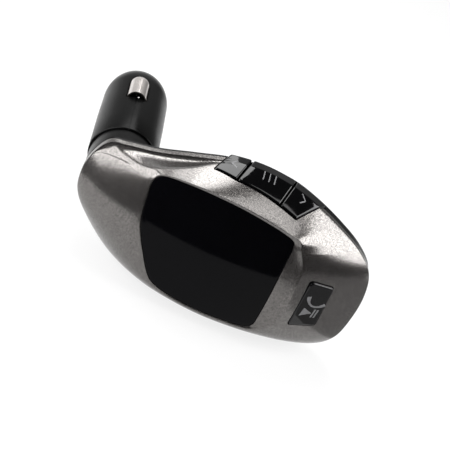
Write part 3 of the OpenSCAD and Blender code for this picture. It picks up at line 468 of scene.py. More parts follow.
def evenly(p, count):
    """A closed outline resampled at equal steps of its length, clockwise."""
    q = np.concatenate([p, p[:1]])
    s = np.concatenate([[0], np.cumsum(np.linalg.norm(np.diff(q, axis=0), axis=1))])
    u = np.linspace(0, s[-1], count, endpoint=False)
    q = np.stack([np.interp(u, s, q[:, 0]), np.interp(u, s, q[:, 1])], 1)
    area = (q[:, 0] * np.roll(q[:, 1], -1) - q[:, 1] * np.roll(q[:, 0], -1)).sum()
    return q if area < 0 else q[::-1]


def edge_rings(outline, radius, steps=7):
    """Rings of a rounded edge: each is the outline moved inwards by r (1 - cos a), with
    its depth r (1 - sin a), for a from 0 to a quarter turn."""
    a = np.linspace(0, np.pi / 2, steps)
    return [(inward(outline, radius * (1 - math.cos(q))), radius * (1 - math.sin(q))) for q in a]


def filled(outline, rings):
    """Rings from the outline to near its middle, by even shares."""
    mid = outline.mean(0)
    return [mid + (outline - mid) * s for s in np.linspace(1, 0.04, rings + 1)[1:]]


def cap_rings(outline, radius, rings):
    """Rings and depths of a cap's top: a rounded edge, then rings to near the middle."""
    edge = edge_rings(outline, radius)
    return edge + [(o, 0.0) for o in filled(edge[-1][0], rings)]


# ---- Materials ----

def add_node(tree, kind, inputs=None, **settings):
    """A node of the tree with its settings and the values or links of its inputs."""
    node = tree.nodes.new(kind)
    for key, value in settings.items():
        setattr(node, key, value)
    for key, value in (inputs or {}).items():
        if isinstance(value, bpy.types.NodeSocket):
            tree.links.new(value, node.inputs[key])
        else:
            node.inputs[key].default_value = value
    return node


class Finish:
    """A material with its Principled shader and short ways to add the nodes that feed it."""

    def __init__(self, name, **values):
        self.material = bpy.data.materials.new("fm_" + name)
        self.material.use_nodes = True
        self.tree = self.material.node_tree
        self.shader = self.tree.nodes["Principled BSDF"]
        for key, value in values.items():
            socket = key.replace("_", " ").title().replace("Ior", "IOR")
            self.shader.inputs[socket].default_value = value
        self.place = self.add("ShaderNodeTexCoord").outputs["Object"]

    def add(self, kind, inputs=None, **settings):
        """A node with its settings and the values or links of its inputs."""
        return add_node(self.tree, kind, inputs, **settings)

    def noise(self, scale, detail=3.0, roughness=0.5, stretch=None):
        """Noise of that many grains per metre, drawn out along the axes of stretch."""
        place = self.place
        if stretch:
            place = self.add("ShaderNodeMapping", {"Vector": place, "Scale": stretch}).outputs[0]
        return self.add("ShaderNodeTexNoise", {"Vector": place, "Scale": scale, "Detail": detail,
                                               "Roughness": roughness}).outputs["Fac"]

    def between(self, value, low, high):
        """A noise, which lies mostly from 0.3 to 0.7, carried to low and high."""
        return self.add("ShaderNodeMapRange", {0: value, 1: 0.3, 2: 0.7, 3: low, 4: high}).outputs[0]

    def tint(self, value, low, high):
        """A colour between low and high."""
        node = self.add("ShaderNodeMix", {0: value}, data_type="RGBA")
        node.inputs[6].default_value, node.inputs[7].default_value = (*low, 1), (*high, 1)
        return node.outputs[2]

    def feed(self, socket, value):
        """Links value to the shader's socket."""
        self.tree.links.new(value, self.shader.inputs[socket])

    def bump(self, height, distance, strength):
        """Bump of that height map, with distance in metres."""
        node = self.add("ShaderNodeBump", {"Height": height, "Distance": distance, "Strength": strength})
        self.feed("Normal", node.outputs[0])


def grown_colour(colour, share):
    """The colour times share, kept below 1."""
    return tuple(min(1.0, c * share) for c in colour)


def paint_finish(c):
    """Gunmetal metallic paint: cells of 0.19 mm are the flakes. Each one leans its own way
    and has its own brightness, under a clear coat."""
    m = Finish("gunmetal_paint", metallic=0.85, coat_weight=0.3, coat_roughness=0.08)
    cells = m.add("ShaderNodeTexVoronoi", {"Vector": m.place, "Scale": 5200.0}).outputs["Color"]
    lean = m.add("ShaderNodeVectorMath", {0: cells, 1: (0.5, 0.5, 0.5)}, operation="SUBTRACT")
    lean = m.add("ShaderNodeVectorMath", {0: lean.outputs[0], "Scale": 0.07}, operation="SCALE")
    normal = m.add("ShaderNodeNewGeometry").outputs["Normal"]
    lean = m.add("ShaderNodeVectorMath", {0: normal, 1: lean.outputs[0]}, operation="ADD")
    lean = m.add("ShaderNodeVectorMath", {0: lean.outputs[0]}, operation="NORMALIZE")
    m.feed("Normal", lean.outputs[0])
    bright = m.add("ShaderNodeSeparateColor", {0: cells}).outputs[0]
    m.feed("Base Color", m.tint(bright, grown_colour(c, 0.55), grown_colour(c, 1.45)))
    m.feed("Roughness", m.between(m.noise(2600.0, 2.0), 0.20, 0.23))
    return m.material


def noise_finish(name, c, tone, rough, grain=None, **values):
    """A finish whose tone, roughness and grain are noises, each given by its scale and its
    detail, then its two ends, or the depth and strength of the grain's bump."""
    m = Finish(name, **values)
    m.feed("Base Color", m.tint(m.noise(*tone[:2]), *(grown_colour(c, q) for q in tone[2:])))
    m.feed("Roughness", m.between(m.noise(*rough[:2]), *rough[2:]))
    if grain:
        m.bump(m.noise(*grain[:2]), *grain[2:])
    return m.material


def plastic_finish(name, c, low, high, specular=0.4):
    """Moulded plastic with its own grain and a slight change of tone."""
    return noise_finish(name, c, (200.0, 4.0, 0.85, 1.15), (500.0, 3.0, low, high),
                        (2400.0, 2.0, 0.00001, 0.5), specular_ior_level=specular)


def metal_finish(name, c, low, high, grain=(1, 1, 1)):
    """Plated or rolled metal: fine lines along the stretch of grain and cloudy polish."""
    m = Finish(name, metallic=1.0)
    lines = m.noise(1500.0, 4.0, 0.6, grain)
    m.feed("Base Color", m.tint(m.noise(300.0, 3.0), grown_colour(c, 0.9), grown_colour(c, 1.05)))
    m.feed("Roughness", m.between(lines, low, high))
    m.bump(lines, 0.000004, 0.5)
    return m.material


def board_finish(c):
    """Solder mask: copper lanes show through it as a lighter green in a square net."""
    m = Finish("solder_mask", specular_ior_level=0.5)
    lanes = m.add("ShaderNodeTexBrick", {"Vector": m.add("ShaderNodeMapping",
        {"Vector": m.place, "Rotation": (math.pi / 2, 0, 0)}).outputs[0], "Scale": 320.0,
        "Mortar Size": 0.06}).outputs["Fac"]
    m.feed("Base Color", m.tint(lanes, c, grown_colour(c, 2.2)))
    m.feed("Roughness", m.between(m.noise(700.0), 0.25, 0.4))
    m.bump(lanes, 0.00003, 0.5)
    return m.material


# Black finishes and the print: name, its colour in the panel, tone, roughness, grain and the
# level of the reflection. The keys are hazy from handling, the plug has spark-eroded grain
# of 0.2 mm, the window is polished and the pad print is uneven in its cover.
COATS = (("gloss_black", "gloss", (240.0, 3.0, 0.8, 1.6), (330.0, 5.0, 0.03, 0.06), None, 0.3),
         ("satin_black", "satin", (160.0, 4.0, 0.75, 1.4), (420.0, 4.0, 0.22, 0.27),
          (5200.0, 2.0, 0.00001, 0.6), 0.07),
         ("window_tint", "glass", (60.0, 2.0, 0.8, 1.3), (120.0, 3.0, 0.05, 0.09), None, 0.07),
         ("key_marks", "print", (1800.0, 3.0, 0.8, 1.15), (900.0, 3.0, 0.4, 0.55), None, 0.3))
# Inner metals and plastics: name, colour, and the range of the roughness.
METALS = (("tinned_steel", (0.62, 0.62, 0.64), 0.22, 0.36, (1, 1, 0.2)),
          ("screw_steel", (0.09, 0.09, 0.10), 0.30, 0.45),
          ("spring_steel", (0.45, 0.45, 0.47), 0.2, 0.35),
          ("bronze", (0.56, 0.38, 0.17), 0.25, 0.4))
PLASTICS = (("tape", (0.02, 0.02, 0.02), 0.6, 0.75),
            ("lcd", (0.02, 0.025, 0.03), 0.15, 0.25, 0.5),
            ("frame_plastic", (0.65, 0.65, 0.6), 0.4, 0.55),
            ("chips", (0.02, 0.02, 0.022), 0.4, 0.55),
            ("wire_red", (0.35, 0.02, 0.015), 0.35, 0.5),
            ("wire_black", (0.015, 0.015, 0.015), 0.4, 0.55))
# The call key's signs, in mm from the plug's axis and the frame's middle: the handset as an
# arc with its middle, radii, ends in degrees, and half widths up to its middle, and the
# play and pause sign as strokes with the half widths at both ends.
HANDSET = (69.6, 1.3, 4.0, 5.2, 196, 314)
HANDSET_WIDTHS = (0.62, 0.62, 0.58, 0.40, 0.32, 0.30, 0.30, 0.30)
PLAY_SIGN = (("play", ((66.6, -6.5), (70.0, -6.6)), (1.7, 0.03)),
             ("bar", ((70.5, -4.9), (70.65, -8.3)), (0.28, 0.28)),
             ("bar", ((71.5, -4.9), (71.65, -8.3)), (0.28, 0.28)))
# Finishes that aren't named like the slot that they fill.
SLOT_FINISHES = {"circuit_board": "solder_mask", "grey_paint": "gunmetal_paint",
                 "window_glass": "window_tint"}


def dress(piece, material, body=None, replaces=()):
    """Gives the piece its material, its body, its slot and the nodes that it stands for."""
    piece.data.materials.clear()
    piece.data.materials.append(material)
    if body:
        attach(piece, body)
    if replaces:
        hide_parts(*replaces)
    return piece


def material(name):
    """A finish that the operator for the finishes has made."""
    found = bpy.data.materials.get("fm_" + name)
    if found is None:
        raise RuntimeError(f"the finish {name} isn't made yet")
    return found


# ---- Parts shared by the shells ----

def key_slot(f):
    """The slot of the top keys, as a tool: a rounded outline through all corners."""
    outline = rounded(np.concatenate([f.key_spot, f.key_rear[::-1]]), f.k.corner)
    return prism("key_slot", outline, f.key_low - 0.65 * MM, f.h.head_h)


def ports(f):
    """The openings of the USB socket and the card slot, as tools."""
    board = f.part_y - 0.3 * f.h.rear_depth
    tools = []
    for share, w, h in PORTS:
        x = share * f.h.head_w - f.h.plug_inset
        tools.append(block("port", (x - w / 2 * MM, x + w / 2 * MM), (board - 0.2 * MM, board + h * MM),
                           (-f.h.head_h, PORT_TOP)))
    return tools


def pad_frame(f):
    """Places points (along, in, up) of the call key's pad in the head's frame."""
    a = f.k.call_turn
    sink = 0.25 * MM
    grid = skin(f, np.linspace(0, LAST_ROW, 60))
    near = np.linalg.norm(grid[..., [0, 2]] - f.call_at, axis=-1)
    i, j = np.unravel_index(near.argmin(), near.shape)
    pad_y = grid[i, j, 1] + sink

    def place(p):
        q = np.asarray(p, float)
        return np.stack([f.call_at[0] + q[..., 0] * math.cos(a) - q[..., 1] * math.sin(a),
                         pad_y + q[..., 0] * math.sin(a) + q[..., 1] * math.cos(a),
                         f.call_at[1] + q[..., 2]], -1)
    return place


def call_ring(f, level, place):
    """The outline of the call key's opening on its pad, at the depth level."""
    o = evenly(rounded(f.call_quad, f.k.call_corner), 160)
    return place(np.stack([o[:, 0], np.full(len(o), level), o[:, 1]], 1))


def make_front_shell(scene):
    """Rings of the outer skin, the window's step and ledge, and the inner wall, joined
    into one closed loft, and cut by the key slot, the call key and the ports."""
    f = form(scene)
    wall, gap = f.h.wall, f.h.seam_gap
    seat, inner = inward(f.rim, 0.1 * MM), inward(f.rim, wall)
    lower = np.linspace(0, CREASE_ROW, 17)
    outer = skin(f, np.concatenate([lower, np.linspace(CREASE_ROW, LAST_ROW, 27)[1:]]))
    foot = raised(inward(f.pane, -0.1 * MM), dome(f, inward(f.pane, -0.1 * MM)))
    slope = mix(outer[-1][None], foot[None], np.linspace(0, 1, 8)[1:, None, None])
    skirt = [raised(seat, f.part_y - gap / 2)[None], raised(f.rim, f.part_y - 0.25 * MM)[None],
             raised(f.rim, f.part_y - 0.8 * MM)[None]]
    rings = np.concatenate([*skirt, outer, slope])
    crease, lip = len(skirt) + len(lower) - 1, len(skirt) + len(outer) - 1
    rings = softened(rings, np.arange(crease - 1, crease + 3))
    rings = softened(rings, np.arange(lip - 1, lip + 2))
    drop = f.w.glass_t + TAPE_T
    ledge = inward(f.pane, LEDGE_W)
    back = dome(f, f.pane) + drop + LEDGE_T
    b0, b1 = bow(np.linspace(1, 0, 8)[:, None], f.column[None, :, 2])
    out = inward(f.pane, -0.2 * MM)
    within = raised(mix(inner[None], out[None], b0[..., None]),
                    mix(f.part_y - f.h.front_skirt, back[None], b1))
    within += dent(f, np.linspace(1, 0, 8)[:, None])
    rings = np.concatenate([rings,
        raised(inward(f.pane, -0.03 * MM), dome(f, f.pane) + 0.03 * MM)[None],
        raised(f.pane, dome(f, f.pane) + 0.1 * MM)[None],
        raised(f.pane, dome(f, f.pane, drop))[None],
        raised(ledge, dome(f, ledge, drop))[None],
        raised(ledge, back)[None], within,
        raised(inner, f.part_y - gap / 2)[None]])
    shell = tube("shell_front", rings)
    place = pad_frame(f)
    call = closed_rings("call_opening", [call_ring(f, y, place) for y in (-0.015, 0.008)])
    mic_at = (0.235 * f.h.head_w - f.h.plug_inset, f.part_y - 0.3 * f.h.rear_depth - 3.6 * MM)
    mic = prism("mic_hole", circle(24, 0.6 * MM, mic_at), -f.h.head_h, PORT_TOP)
    combine(shell, key_slot(f), call, mic, *ports(f))
    return dress(shell, material("gunmetal_paint"), "head", ["front_shell"])


def make_rear_shell(scene):
    """Rings of the outer rear skin and its inner wall, joined with the plug's collar and
    the screw bosses, and bored for the neck, the screws, the keys and the ports."""
    f = form(scene)
    p = scene.fm_plug
    gap, wall = f.h.seam_gap, f.h.wall
    seat, inner = inward(f.rim, 0.1 * MM), inward(f.rim, wall)
    rows = np.linspace(0, 1, 25)
    outer = rear_skin(f, rows, seat, f.flat_y)
    within = rear_skin(f, rows[::3], inner, f.flat_y - wall)
    flat = [raised(mix(outer[-1][:, [0, 2]], f.back_mid, s), f.flat_y)
            for s in (0.9, 0.75, 0.5, 0.25)]
    floor = [raised(mix(within[-1][:, [0, 2]], f.back_mid, s), f.flat_y - wall)
             for s in (0.5, 0.9)]
    shell = closed_rings("shell_rear", np.concatenate([np.array(flat), outer[::-1],
        raised(inward(f.rim, 0.22 * MM), f.part_y + gap / 2)[None],
        raised(inner, f.part_y + gap / 2)[None], within, np.array(floor)]))
    # the collar is a cone that widens towards the head, with a rounded upper edge
    top, foot, axis = -0.15 * MM, -9.2 * MM, 0.4 * MM
    top_r, foot_r, e = p.plug_d / 2 - 0.54 * MM, p.plug_d / 2 - 0.25 * MM, 0.2 * MM
    arc = [[top_r - e + e * math.cos(q), top - e + e * math.sin(q)]
           for q in np.linspace(0, np.pi / 2, 6)]
    collar = lathe("collar", [[axis, foot], [foot_r, foot], *arc, [axis, top]], 2 * ROUND_STEPS)
    bosses = [rod("boss", 2.5 * MM, f.part_y + gap / 2, y - 0.9 * MM, s)
              for s, y in zip(f.screws, SCREW_LEVELS)]
    combine(shell, collar, *bosses, operation="UNION")
    n = p.neck_d / 2 + 0.12 * MM
    tools = [rod("bore", n, -0.02, 0.02, steps=ROUND_STEPS),
             rod("chamber", 8.9 * MM, -0.02, -5 * MM, steps=ROUND_STEPS)]
    for s in f.screws:
        tools.append(rod("screw_bore", 1.1 * MM, -0.02, 0.02, s))
        tools.append(rod("counterbore", 2.0 * MM, SCREW_SEAT, 0.02, s))
    combine(shell, *tools, key_slot(f), *ports(f))
    return dress(shell, material("satin_black"), "head", ["rear_shell"])


def make_glass(scene):
    """Rings from the rounded rim of the pane to its middle, on the glass's sphere, with
    the same rings behind them at the glass's thickness."""
    f = form(scene)
    edge = inward(f.pane, f.w.glass_gap)
    front = [raised(o, dome(f, o) + d) for o, d in edge_rings(edge, 0.25 * MM)]
    last = inward(edge, 0.25 * MM)
    front += [raised(o, dome(f, o)) for o in filled(last, 24)]
    back = [raised(o, dome(f, o, f.w.glass_t)) for o in [edge] + filled(edge, 6)]
    glass = closed_rings("glass_window", front[::-1] + back)
    return dress(glass, material("window_tint"), "head", ["window_glass"])


def crown(f, grow):
    """The head's top skin moved outwards by grow, as a grid that the keys read heights from."""
    rows = np.linspace(0, LAST_ROW - 0.4, 90)
    g = skin(f, rows)
    g = np.concatenate([raised(f.rim, f.key_back + 1.5 * MM)[None],
                        raised(f.rim, f.key_back)[None], raised(f.rim, f.part_y)[None], g])
    t = np.roll(g, -1, 1) - np.roll(g, 1, 1)
    t /= np.linalg.norm(t[..., [0, 2]], axis=-1, keepdims=True)
    k = np.concatenate([[0, 0, 0], rows])
    g[..., 0] -= grow * t[..., 2]
    g[..., 2] += grow * t[..., 0]
    g[..., 1] -= grow * np.sin(np.pi / 2 * k / LAST_ROW)[:, None]
    return g[:, f.rim[:, 1] > 10 * MM]      # the keys lie above this level


def height_on(grid, x, y):
    """Height of the grid's surface over (x, y): the nearest grid point's height, carried
    along the two tangents of the grid there."""
    dv, du = np.gradient(grid, axis=(0, 1))
    flat, du, dv = (q.reshape(-1, 3) for q in (grid, du, dv))
    q = np.stack([x.ravel(), y.ravel()], 1)
    near = np.concatenate([((part[:, None] - flat[None, :, :2]) ** 2).sum(-1).argmin(1)
                           for part in np.array_split(q, max(1, len(q) // 200))])
    d = q - flat[near, :2]
    u, v = du[near], dv[near]
    det = u[:, 0] * v[:, 1] - u[:, 1] * v[:, 0]
    det = np.where(np.abs(det) < 1e-16, 1e-16, det)
    a = (d[:, 0] * v[:, 1] - d[:, 1] * v[:, 0]) / det
    b = (u[:, 0] * d[:, 1] - u[:, 1] * d[:, 0]) / det
    a, b = np.clip(a, -1.5, 1.5), np.clip(b, -1.5, 1.5)
    return (flat[near, 2] + a * u[:, 2] + b * v[:, 2]).reshape(x.shape)


def key_quad(f, k):
    """Corners of top key number k, over x and y."""
    return np.array([f.key_spot[k], f.key_spot[k + 1], f.key_rear[k + 1], f.key_rear[k]])


def make_top_key(scene, k, name, node):
    """A key cap: rings of its plan outline with a rounded upper edge, laid on the head's
    skin grown by the key's height, above straight sides."""
    f = form(scene)
    grid = crown(f, f.k.proud)
    outline = evenly(rounded(shrunk(key_quad(f, k), f.k.gap), f.k.corner), 200)
    top = [np.column_stack([o, height_on(grid, o[:, 0], o[:, 1]) - d])
           for o, d in cap_rings(outline, f.k.edge, 18)]
    side = [np.column_stack([outline, np.full(len(outline), z)])
            for z in (f.key_low, f.key_low + 0.6 * MM)]
    key = closed_rings(name, side + top)
    return dress(key, material("gloss_black"), node, [node])


def make_call_key(scene):
    """The call key: rings of its outline with a rounded edge and a flat face,
    standing on its tilted pad."""
    f = form(scene)
    place = pad_frame(f)
    outline = evenly(rounded(shrunk(f.call_quad, f.k.gap), f.k.call_corner), 200)
    rings = [(outline, KEY_DEPTH), (outline, KEY_DEPTH - 0.6 * MM)]
    rings += [(o, d - f.k.proud) for o, d in cap_rings(outline, f.k.edge, 16)]
    key = closed_rings("key_call", [place(np.column_stack([o[:, 0], np.full(len(o), y), o[:, 1]]))
                                    for o, y in rings])
    return dress(key, material("gloss_black"), "call_key", ["call_key"])


def ribbon(name, path, widths, surface, lift=0.00002, depth=0.00006, steps=40):
    """A printed stroke: the path in the plane of the key with a half width at each of its
    points, carried by surface(u, v, height) onto the key, and closed below."""
    p = np.asarray(path, float)
    s = np.concatenate([[0], np.cumsum(np.linalg.norm(np.diff(p, axis=0), axis=1))])
    u = np.linspace(0, s[-1], steps)
    c = np.stack([np.interp(u, s, p[:, 0]), np.interp(u, s, p[:, 1])], 1)
    w = np.interp(u, s, widths)[:, None]
    t = np.gradient(c, axis=0)
    n = np.stack([-t[:, 1], t[:, 0]], 1) / np.linalg.norm(t, axis=1, keepdims=True)
    across = [c + n * w * q for q in (-1, -0.33, 0.33, 1)]
    ring = [surface(q[:, 0], q[:, 1], lift) for q in across]
    ring += [surface(q[:, 0], q[:, 1], -depth) for q in across[::-1]]
    return closed_rings(name, np.stack(ring, 1))


# ---- Plug ----

def plug_levels(p):
    """Levels of the side contacts' start, of the middle of their round ends, and of the
    nose's flat end."""
    end = p.barrel_l - NOSE_GAP
    nose = p.barrel_l + p.nose_l * math.sqrt(1 - (NOSE_FLAT / (p.plug_d / 2 - p.draft)) ** 2)
    return end - p.ground_l, end - p.ground_w / 2, nose


def make_plug(scene):
    """The barrel and its nose as one lathed wall, cut by the slots of the side contacts
    and the seam's groove, and parted in the seam's plane into two halves."""
    p = scene.fm_plug
    r, wall = p.plug_d / 2, p.wall
    nose_r = r - p.draft
    start, middle, nose_end = plug_levels(p)
    band = start - 0.5 * MM
    neck, groove = p.neck_d / 2, 3.8 * MM
    a = np.linspace(np.pi / 2, math.asin(NOSE_FLAT / nose_r), 40)
    dome_line = np.stack([nose_r * np.sin(a), p.barrel_l + p.nose_l * np.cos(a)], 1)
    foot = [[r - 0.5 * MM * (1 - math.sin(q)), 0.5 * MM * (1 - math.cos(q))]
            for q in np.linspace(0, np.pi / 2, 6)]
    hole, chamber, bore = p.tip_d / 2 + 0.15 * MM, 0.7 * p.tip_d + 0.3 * MM, 2.0 * MM
    neck_end, ring_from, ring_to = -7.65 * MM, -6.9 * MM, -5.35 * MM    # groove of the swivel ring
    hollow_from, hollow_to, spring_from = 3 * MM, 33 * MM, 34.5 * MM    # the barrel's two hollows
    spring_to, bevel = nose_end - 3.7 * MM, 0.15 * MM
    profile = np.array([[bore, neck_end], [neck, neck_end], [neck, ring_from], [groove, ring_from],
        [groove, ring_to], [neck, ring_to], [neck, 0]] + foot + [[r, band * 0.5], [r, band],
        [r - p.draft / 2, (band + p.barrel_l) / 2]] + dome_line.tolist() + [
        [hole + bevel, nose_end], [hole, nose_end - bevel], [hole, spring_to],
        [chamber, spring_to], [chamber, spring_from], [bore, spring_from], [bore, hollow_to],
        [r - wall, hollow_to], [r - wall, hollow_from], [bore, hollow_from]])
    body = lathe("plug_body", profile, 2 * ROUND_STEPS)
    slot_gap = 0.25 * MM
    slot_r, low = p.ground_w / 2 + slot_gap, start - slot_gap
    c = np.linspace(np.pi, 0, 33)
    outline = np.concatenate([[[slot_r, low], [-slot_r, low]],
                              np.stack([slot_r * np.cos(c), middle + slot_r * np.sin(c)], 1)])
    tools = []
    for side in (0, 180):
        turn = side - math.degrees(p.seam_turn)
        tools.append(turn_y(prism("slot", outline, 0.003, 0.02), turn))
        tools.append(turn_y(block("groove", (-0.12 * MM, 0.12 * MM), (-0.001, p.barrel_l + 0.001),
                                  (r - 0.35 * MM, 0.02)), turn))
    combine(body, *tools)
    other = duplicate(body, "plug_right")
    body.name = "plug_left"
    for piece, side, node in ((body, 90, "plug_half_left"), (other, -90, "plug_half_right")):
        cut = turn_y(block("half", (-0.04, 0.04), (-0.04, 0.09), (0, 0.04)),
                     side - math.degrees(p.seam_turn))
        combine(piece, cut)
        dress(piece, material("satin_black"), "plug", [node])


def make_side_contact(scene, name, side, node):
    """A pressed hood: its profile (radius, height) runs from the flange up over the crown,
    carried along a U that is straight along the barrel and round at the nose end, with
    the same surface inside at the sheet's thickness."""
    p = scene.fm_plug
    r, t = p.ground_w / 2, p.ground_t
    top = p.plug_d / 2 + p.ground_proud
    axis, low = top - r, 6.53 * MM        # of the round crown, and level of the flange
    y0, yc, _ = plug_levels(p)
    a = np.linspace(0, np.pi / 2, 22)

    def profile(radius, base, reach):
        k = 0.5 * MM
        leg = np.linspace(base + k, axis, 8)[:-1]
        bend = np.linspace(0, np.pi / 2, 6)[:-1]
        return np.concatenate([[[reach, base]],
            np.stack([radius + k * (1 - np.sin(bend)), base + k * (1 - np.cos(bend))], 1),
            np.stack([np.full(len(leg), radius), leg], 1),
            np.stack([radius * np.cos(a), axis + radius * np.sin(a)], 1)])
    outer, inner = profile(r, low + t, r + 0.75 * MM), profile(r - t, low, r + 0.75 * MM)
    inner[1:6, 0] = np.minimum(inner[1:6, 0], outer[1:6, 0] - t * 0.4)

    def carried(q):
        straight = np.linspace(y0, yc, 24)[:-1]
        c = np.linspace(np.pi, 0, 40)
        left = np.stack([np.outer(-q[:, 0], np.ones(len(straight))),
                         np.outer(np.ones(len(q)), straight)], -1)
        bend = np.stack([np.outer(q[:, 0], np.cos(c)), yc + np.outer(q[:, 0], np.sin(c))], -1)
        right = left[:, ::-1] * [-1, 1]
        plan = np.concatenate([left, bend, right], 1)
        return np.concatenate([plan, np.broadcast_to(q[:, None, 1:], plan.shape[:2] + (1,))], -1)
    outside, inside = carried(outer), carried(inner)
    rows, cols = outside.shape[:2]
    i, j = np.arange(cols - 1), np.arange(rows - 1)
    n = rows * cols
    patch = grid_faces(rows, cols)
    hem = np.stack([i, n + i, n + i + 1, i + 1], 1)
    first = np.stack([j * cols, (j + 1) * cols, n + (j + 1) * cols, n + j * cols], 1)
    last = np.stack([j * cols, n + j * cols, n + (j + 1) * cols, (j + 1) * cols], 1) + cols - 1
    contact = new_piece(name, np.concatenate([outside.reshape(-1, 3), inside.reshape(-1, 3)]),
                        [patch, patch[:, ::-1] + n, hem, first, last])
    weld(contact)
    turn_y(contact, side - math.degrees(p.seam_turn))
    return dress(contact, material("nickel"), node, [node])


def weld(piece, distance=1e-7):
    """Merges points that coincide and turns the faces outwards again."""
    b = bmesh.new()
    b.from_mesh(piece.data)
    bmesh.ops.remove_doubles(b, verts=b.verts, dist=distance)
    bmesh.ops.dissolve_degenerate(b, edges=b.edges, dist=distance)
    bmesh.ops.recalc_face_normals(b, faces=b.faces)
    b.to_mesh(piece.data)
    b.free()
    return finish_piece(piece)


def make_tip(scene):
    """The centre contact as a lathed cup: a flange, a straight shank with a fine turned
    line, and a domed end."""
    p = scene.fm_plug
    r = p.tip_d / 2
    nose_end = plug_levels(p)[2]
    y0 = nose_end - 3.75 * MM
    end = nose_end + p.tip_out
    dome_d = 0.3 * p.tip_d
    a = np.linspace(0, np.pi / 2, 24)
    profile = [[r - 0.9 * MM, y0 - 1.7 * MM], [0.7 * p.tip_d, y0 - 1.7 * MM], [0.7 * p.tip_d, y0],
               [r, y0], [r, end - dome_d - 0.5 * MM], [r - 0.08 * MM, end - dome_d - 0.4 * MM],
               [r - 0.08 * MM, end - dome_d - 0.25 * MM], [r, end - dome_d - 0.15 * MM]]
    profile += [[max(r * math.cos(q), 0.02 * MM), end - dome_d * (1 - math.sin(q))] for q in a]
    profile += [[0.02 * MM, nose_end + 0.4 * p.tip_out], [r - 0.9 * MM, nose_end + 0.4 * p.tip_out]]
    tip = lathe("contact_tip", profile, 96)
    return dress(tip, material("nickel"), "centre_contact", ["centre_contact"])


def make_screws(scene):
    """Pan-head screws in the rear shell: a lathed head and shank with a cross recess."""
    f = form(scene)
    made = []
    seat, shank_r, head_r, side, crest = SCREW_SEAT, 0.95 * MM, 1.8 * MM, 0.55 * MM, 0.75 * MM
    head = [[head_r * math.sin(q), seat + side + crest * math.cos(q)]
            for q in np.linspace(np.pi / 2, 0.02, 14)]
    profile = [[0.02 * MM, seat - 8 * MM], [shank_r, seat - 7.4 * MM], [shank_r, seat],
               [head_r, seat]] + head
    for n, s in enumerate(f.screws):
        screw = lathe(f"screw_{n}", profile, 48)
        screw.data.transform(Matrix.Translation((s[0], 0, s[1])))
        arms = []
        for turn in (20 + 35 * n, 110 + 35 * n):
            arm = block("arm", (-1.05 * MM, 1.05 * MM), (seat + 0.5 * MM, 0), (-0.2 * MM, 0.2 * MM))
            turn_y(arm, turn)
            arm.data.transform(Matrix.Translation((s[0], 0, s[1])))
            arms.append(arm)
        made.append(combine(screw, *arms))
    screws = joined("screws_rear", made)
    return dress(screws, material("screw_steel"), "head", ["shell_screws"])


# ---- Operators ----

class MakeFinishes(bpy.types.Operator):
    """Make the finishes and give the inner parts theirs"""
    bl_idname = "fm.make_finishes"
    bl_label = "Finishes"

    def execute(self, context):
        c = context.scene.fm_finishes
        paint_finish(c.paint)
        board_finish(c.board)
        metal_finish("nickel", c.nickel, 0.16, 0.28, (1, 0.15, 1))
        for name, panel, tone, rough, grain, level in COATS:
            noise_finish(name, getattr(c, panel), tone, rough, grain, specular_ior_level=level)
        for metal in METALS:
            metal_finish(*metal)
        for plastic in PLASTICS:
            plastic_finish(*plastic)
        for part in frame["record"]["subparts"]:
            slot = part["material_slot"]
            dress(frame["nodes"][part["node"]], material(SLOT_FINISHES.get(slot, slot)))
        return {"FINISHED"}


class MakeShells(bpy.types.Operator):
    """Make the painted front shell and the black rear shell"""
    bl_idname = "fm.make_shells"
    bl_label = "Shells"

    def execute(self, context):
        make_front_shell(context.scene)
        make_rear_shell(context.scene)
        make_screws(context.scene)
        return {"FINISHED"}


class MakeWindow(bpy.types.Operator):
    """Make the domed glass of the display window"""
    bl_idname = "fm.make_window"
    bl_label = "Window"

    def execute(self, context):
        make_glass(context.scene)
        return {"FINISHED"}


class MakeTopKeys(bpy.types.Operator):
    """Make the three keys along the top"""
    bl_idname = "fm.make_top_keys"
    bl_label = "Top keys"

    def execute(self, context):
        for k, (name, node) in enumerate((("key_left", "prev_key"), ("key_middle", "channel_key"),
                                          ("key_right", "next_key"))):
            make_top_key(context.scene, k, name, node)
        return {"FINISHED"}


class MakeCallKey(bpy.types.Operator):
    """Make the call key on its pad"""
    bl_idname = "fm.make_call_key"
    bl_label = "Call key"

    def execute(self, context):
        make_call_key(context.scene)
        return {"FINISHED"}


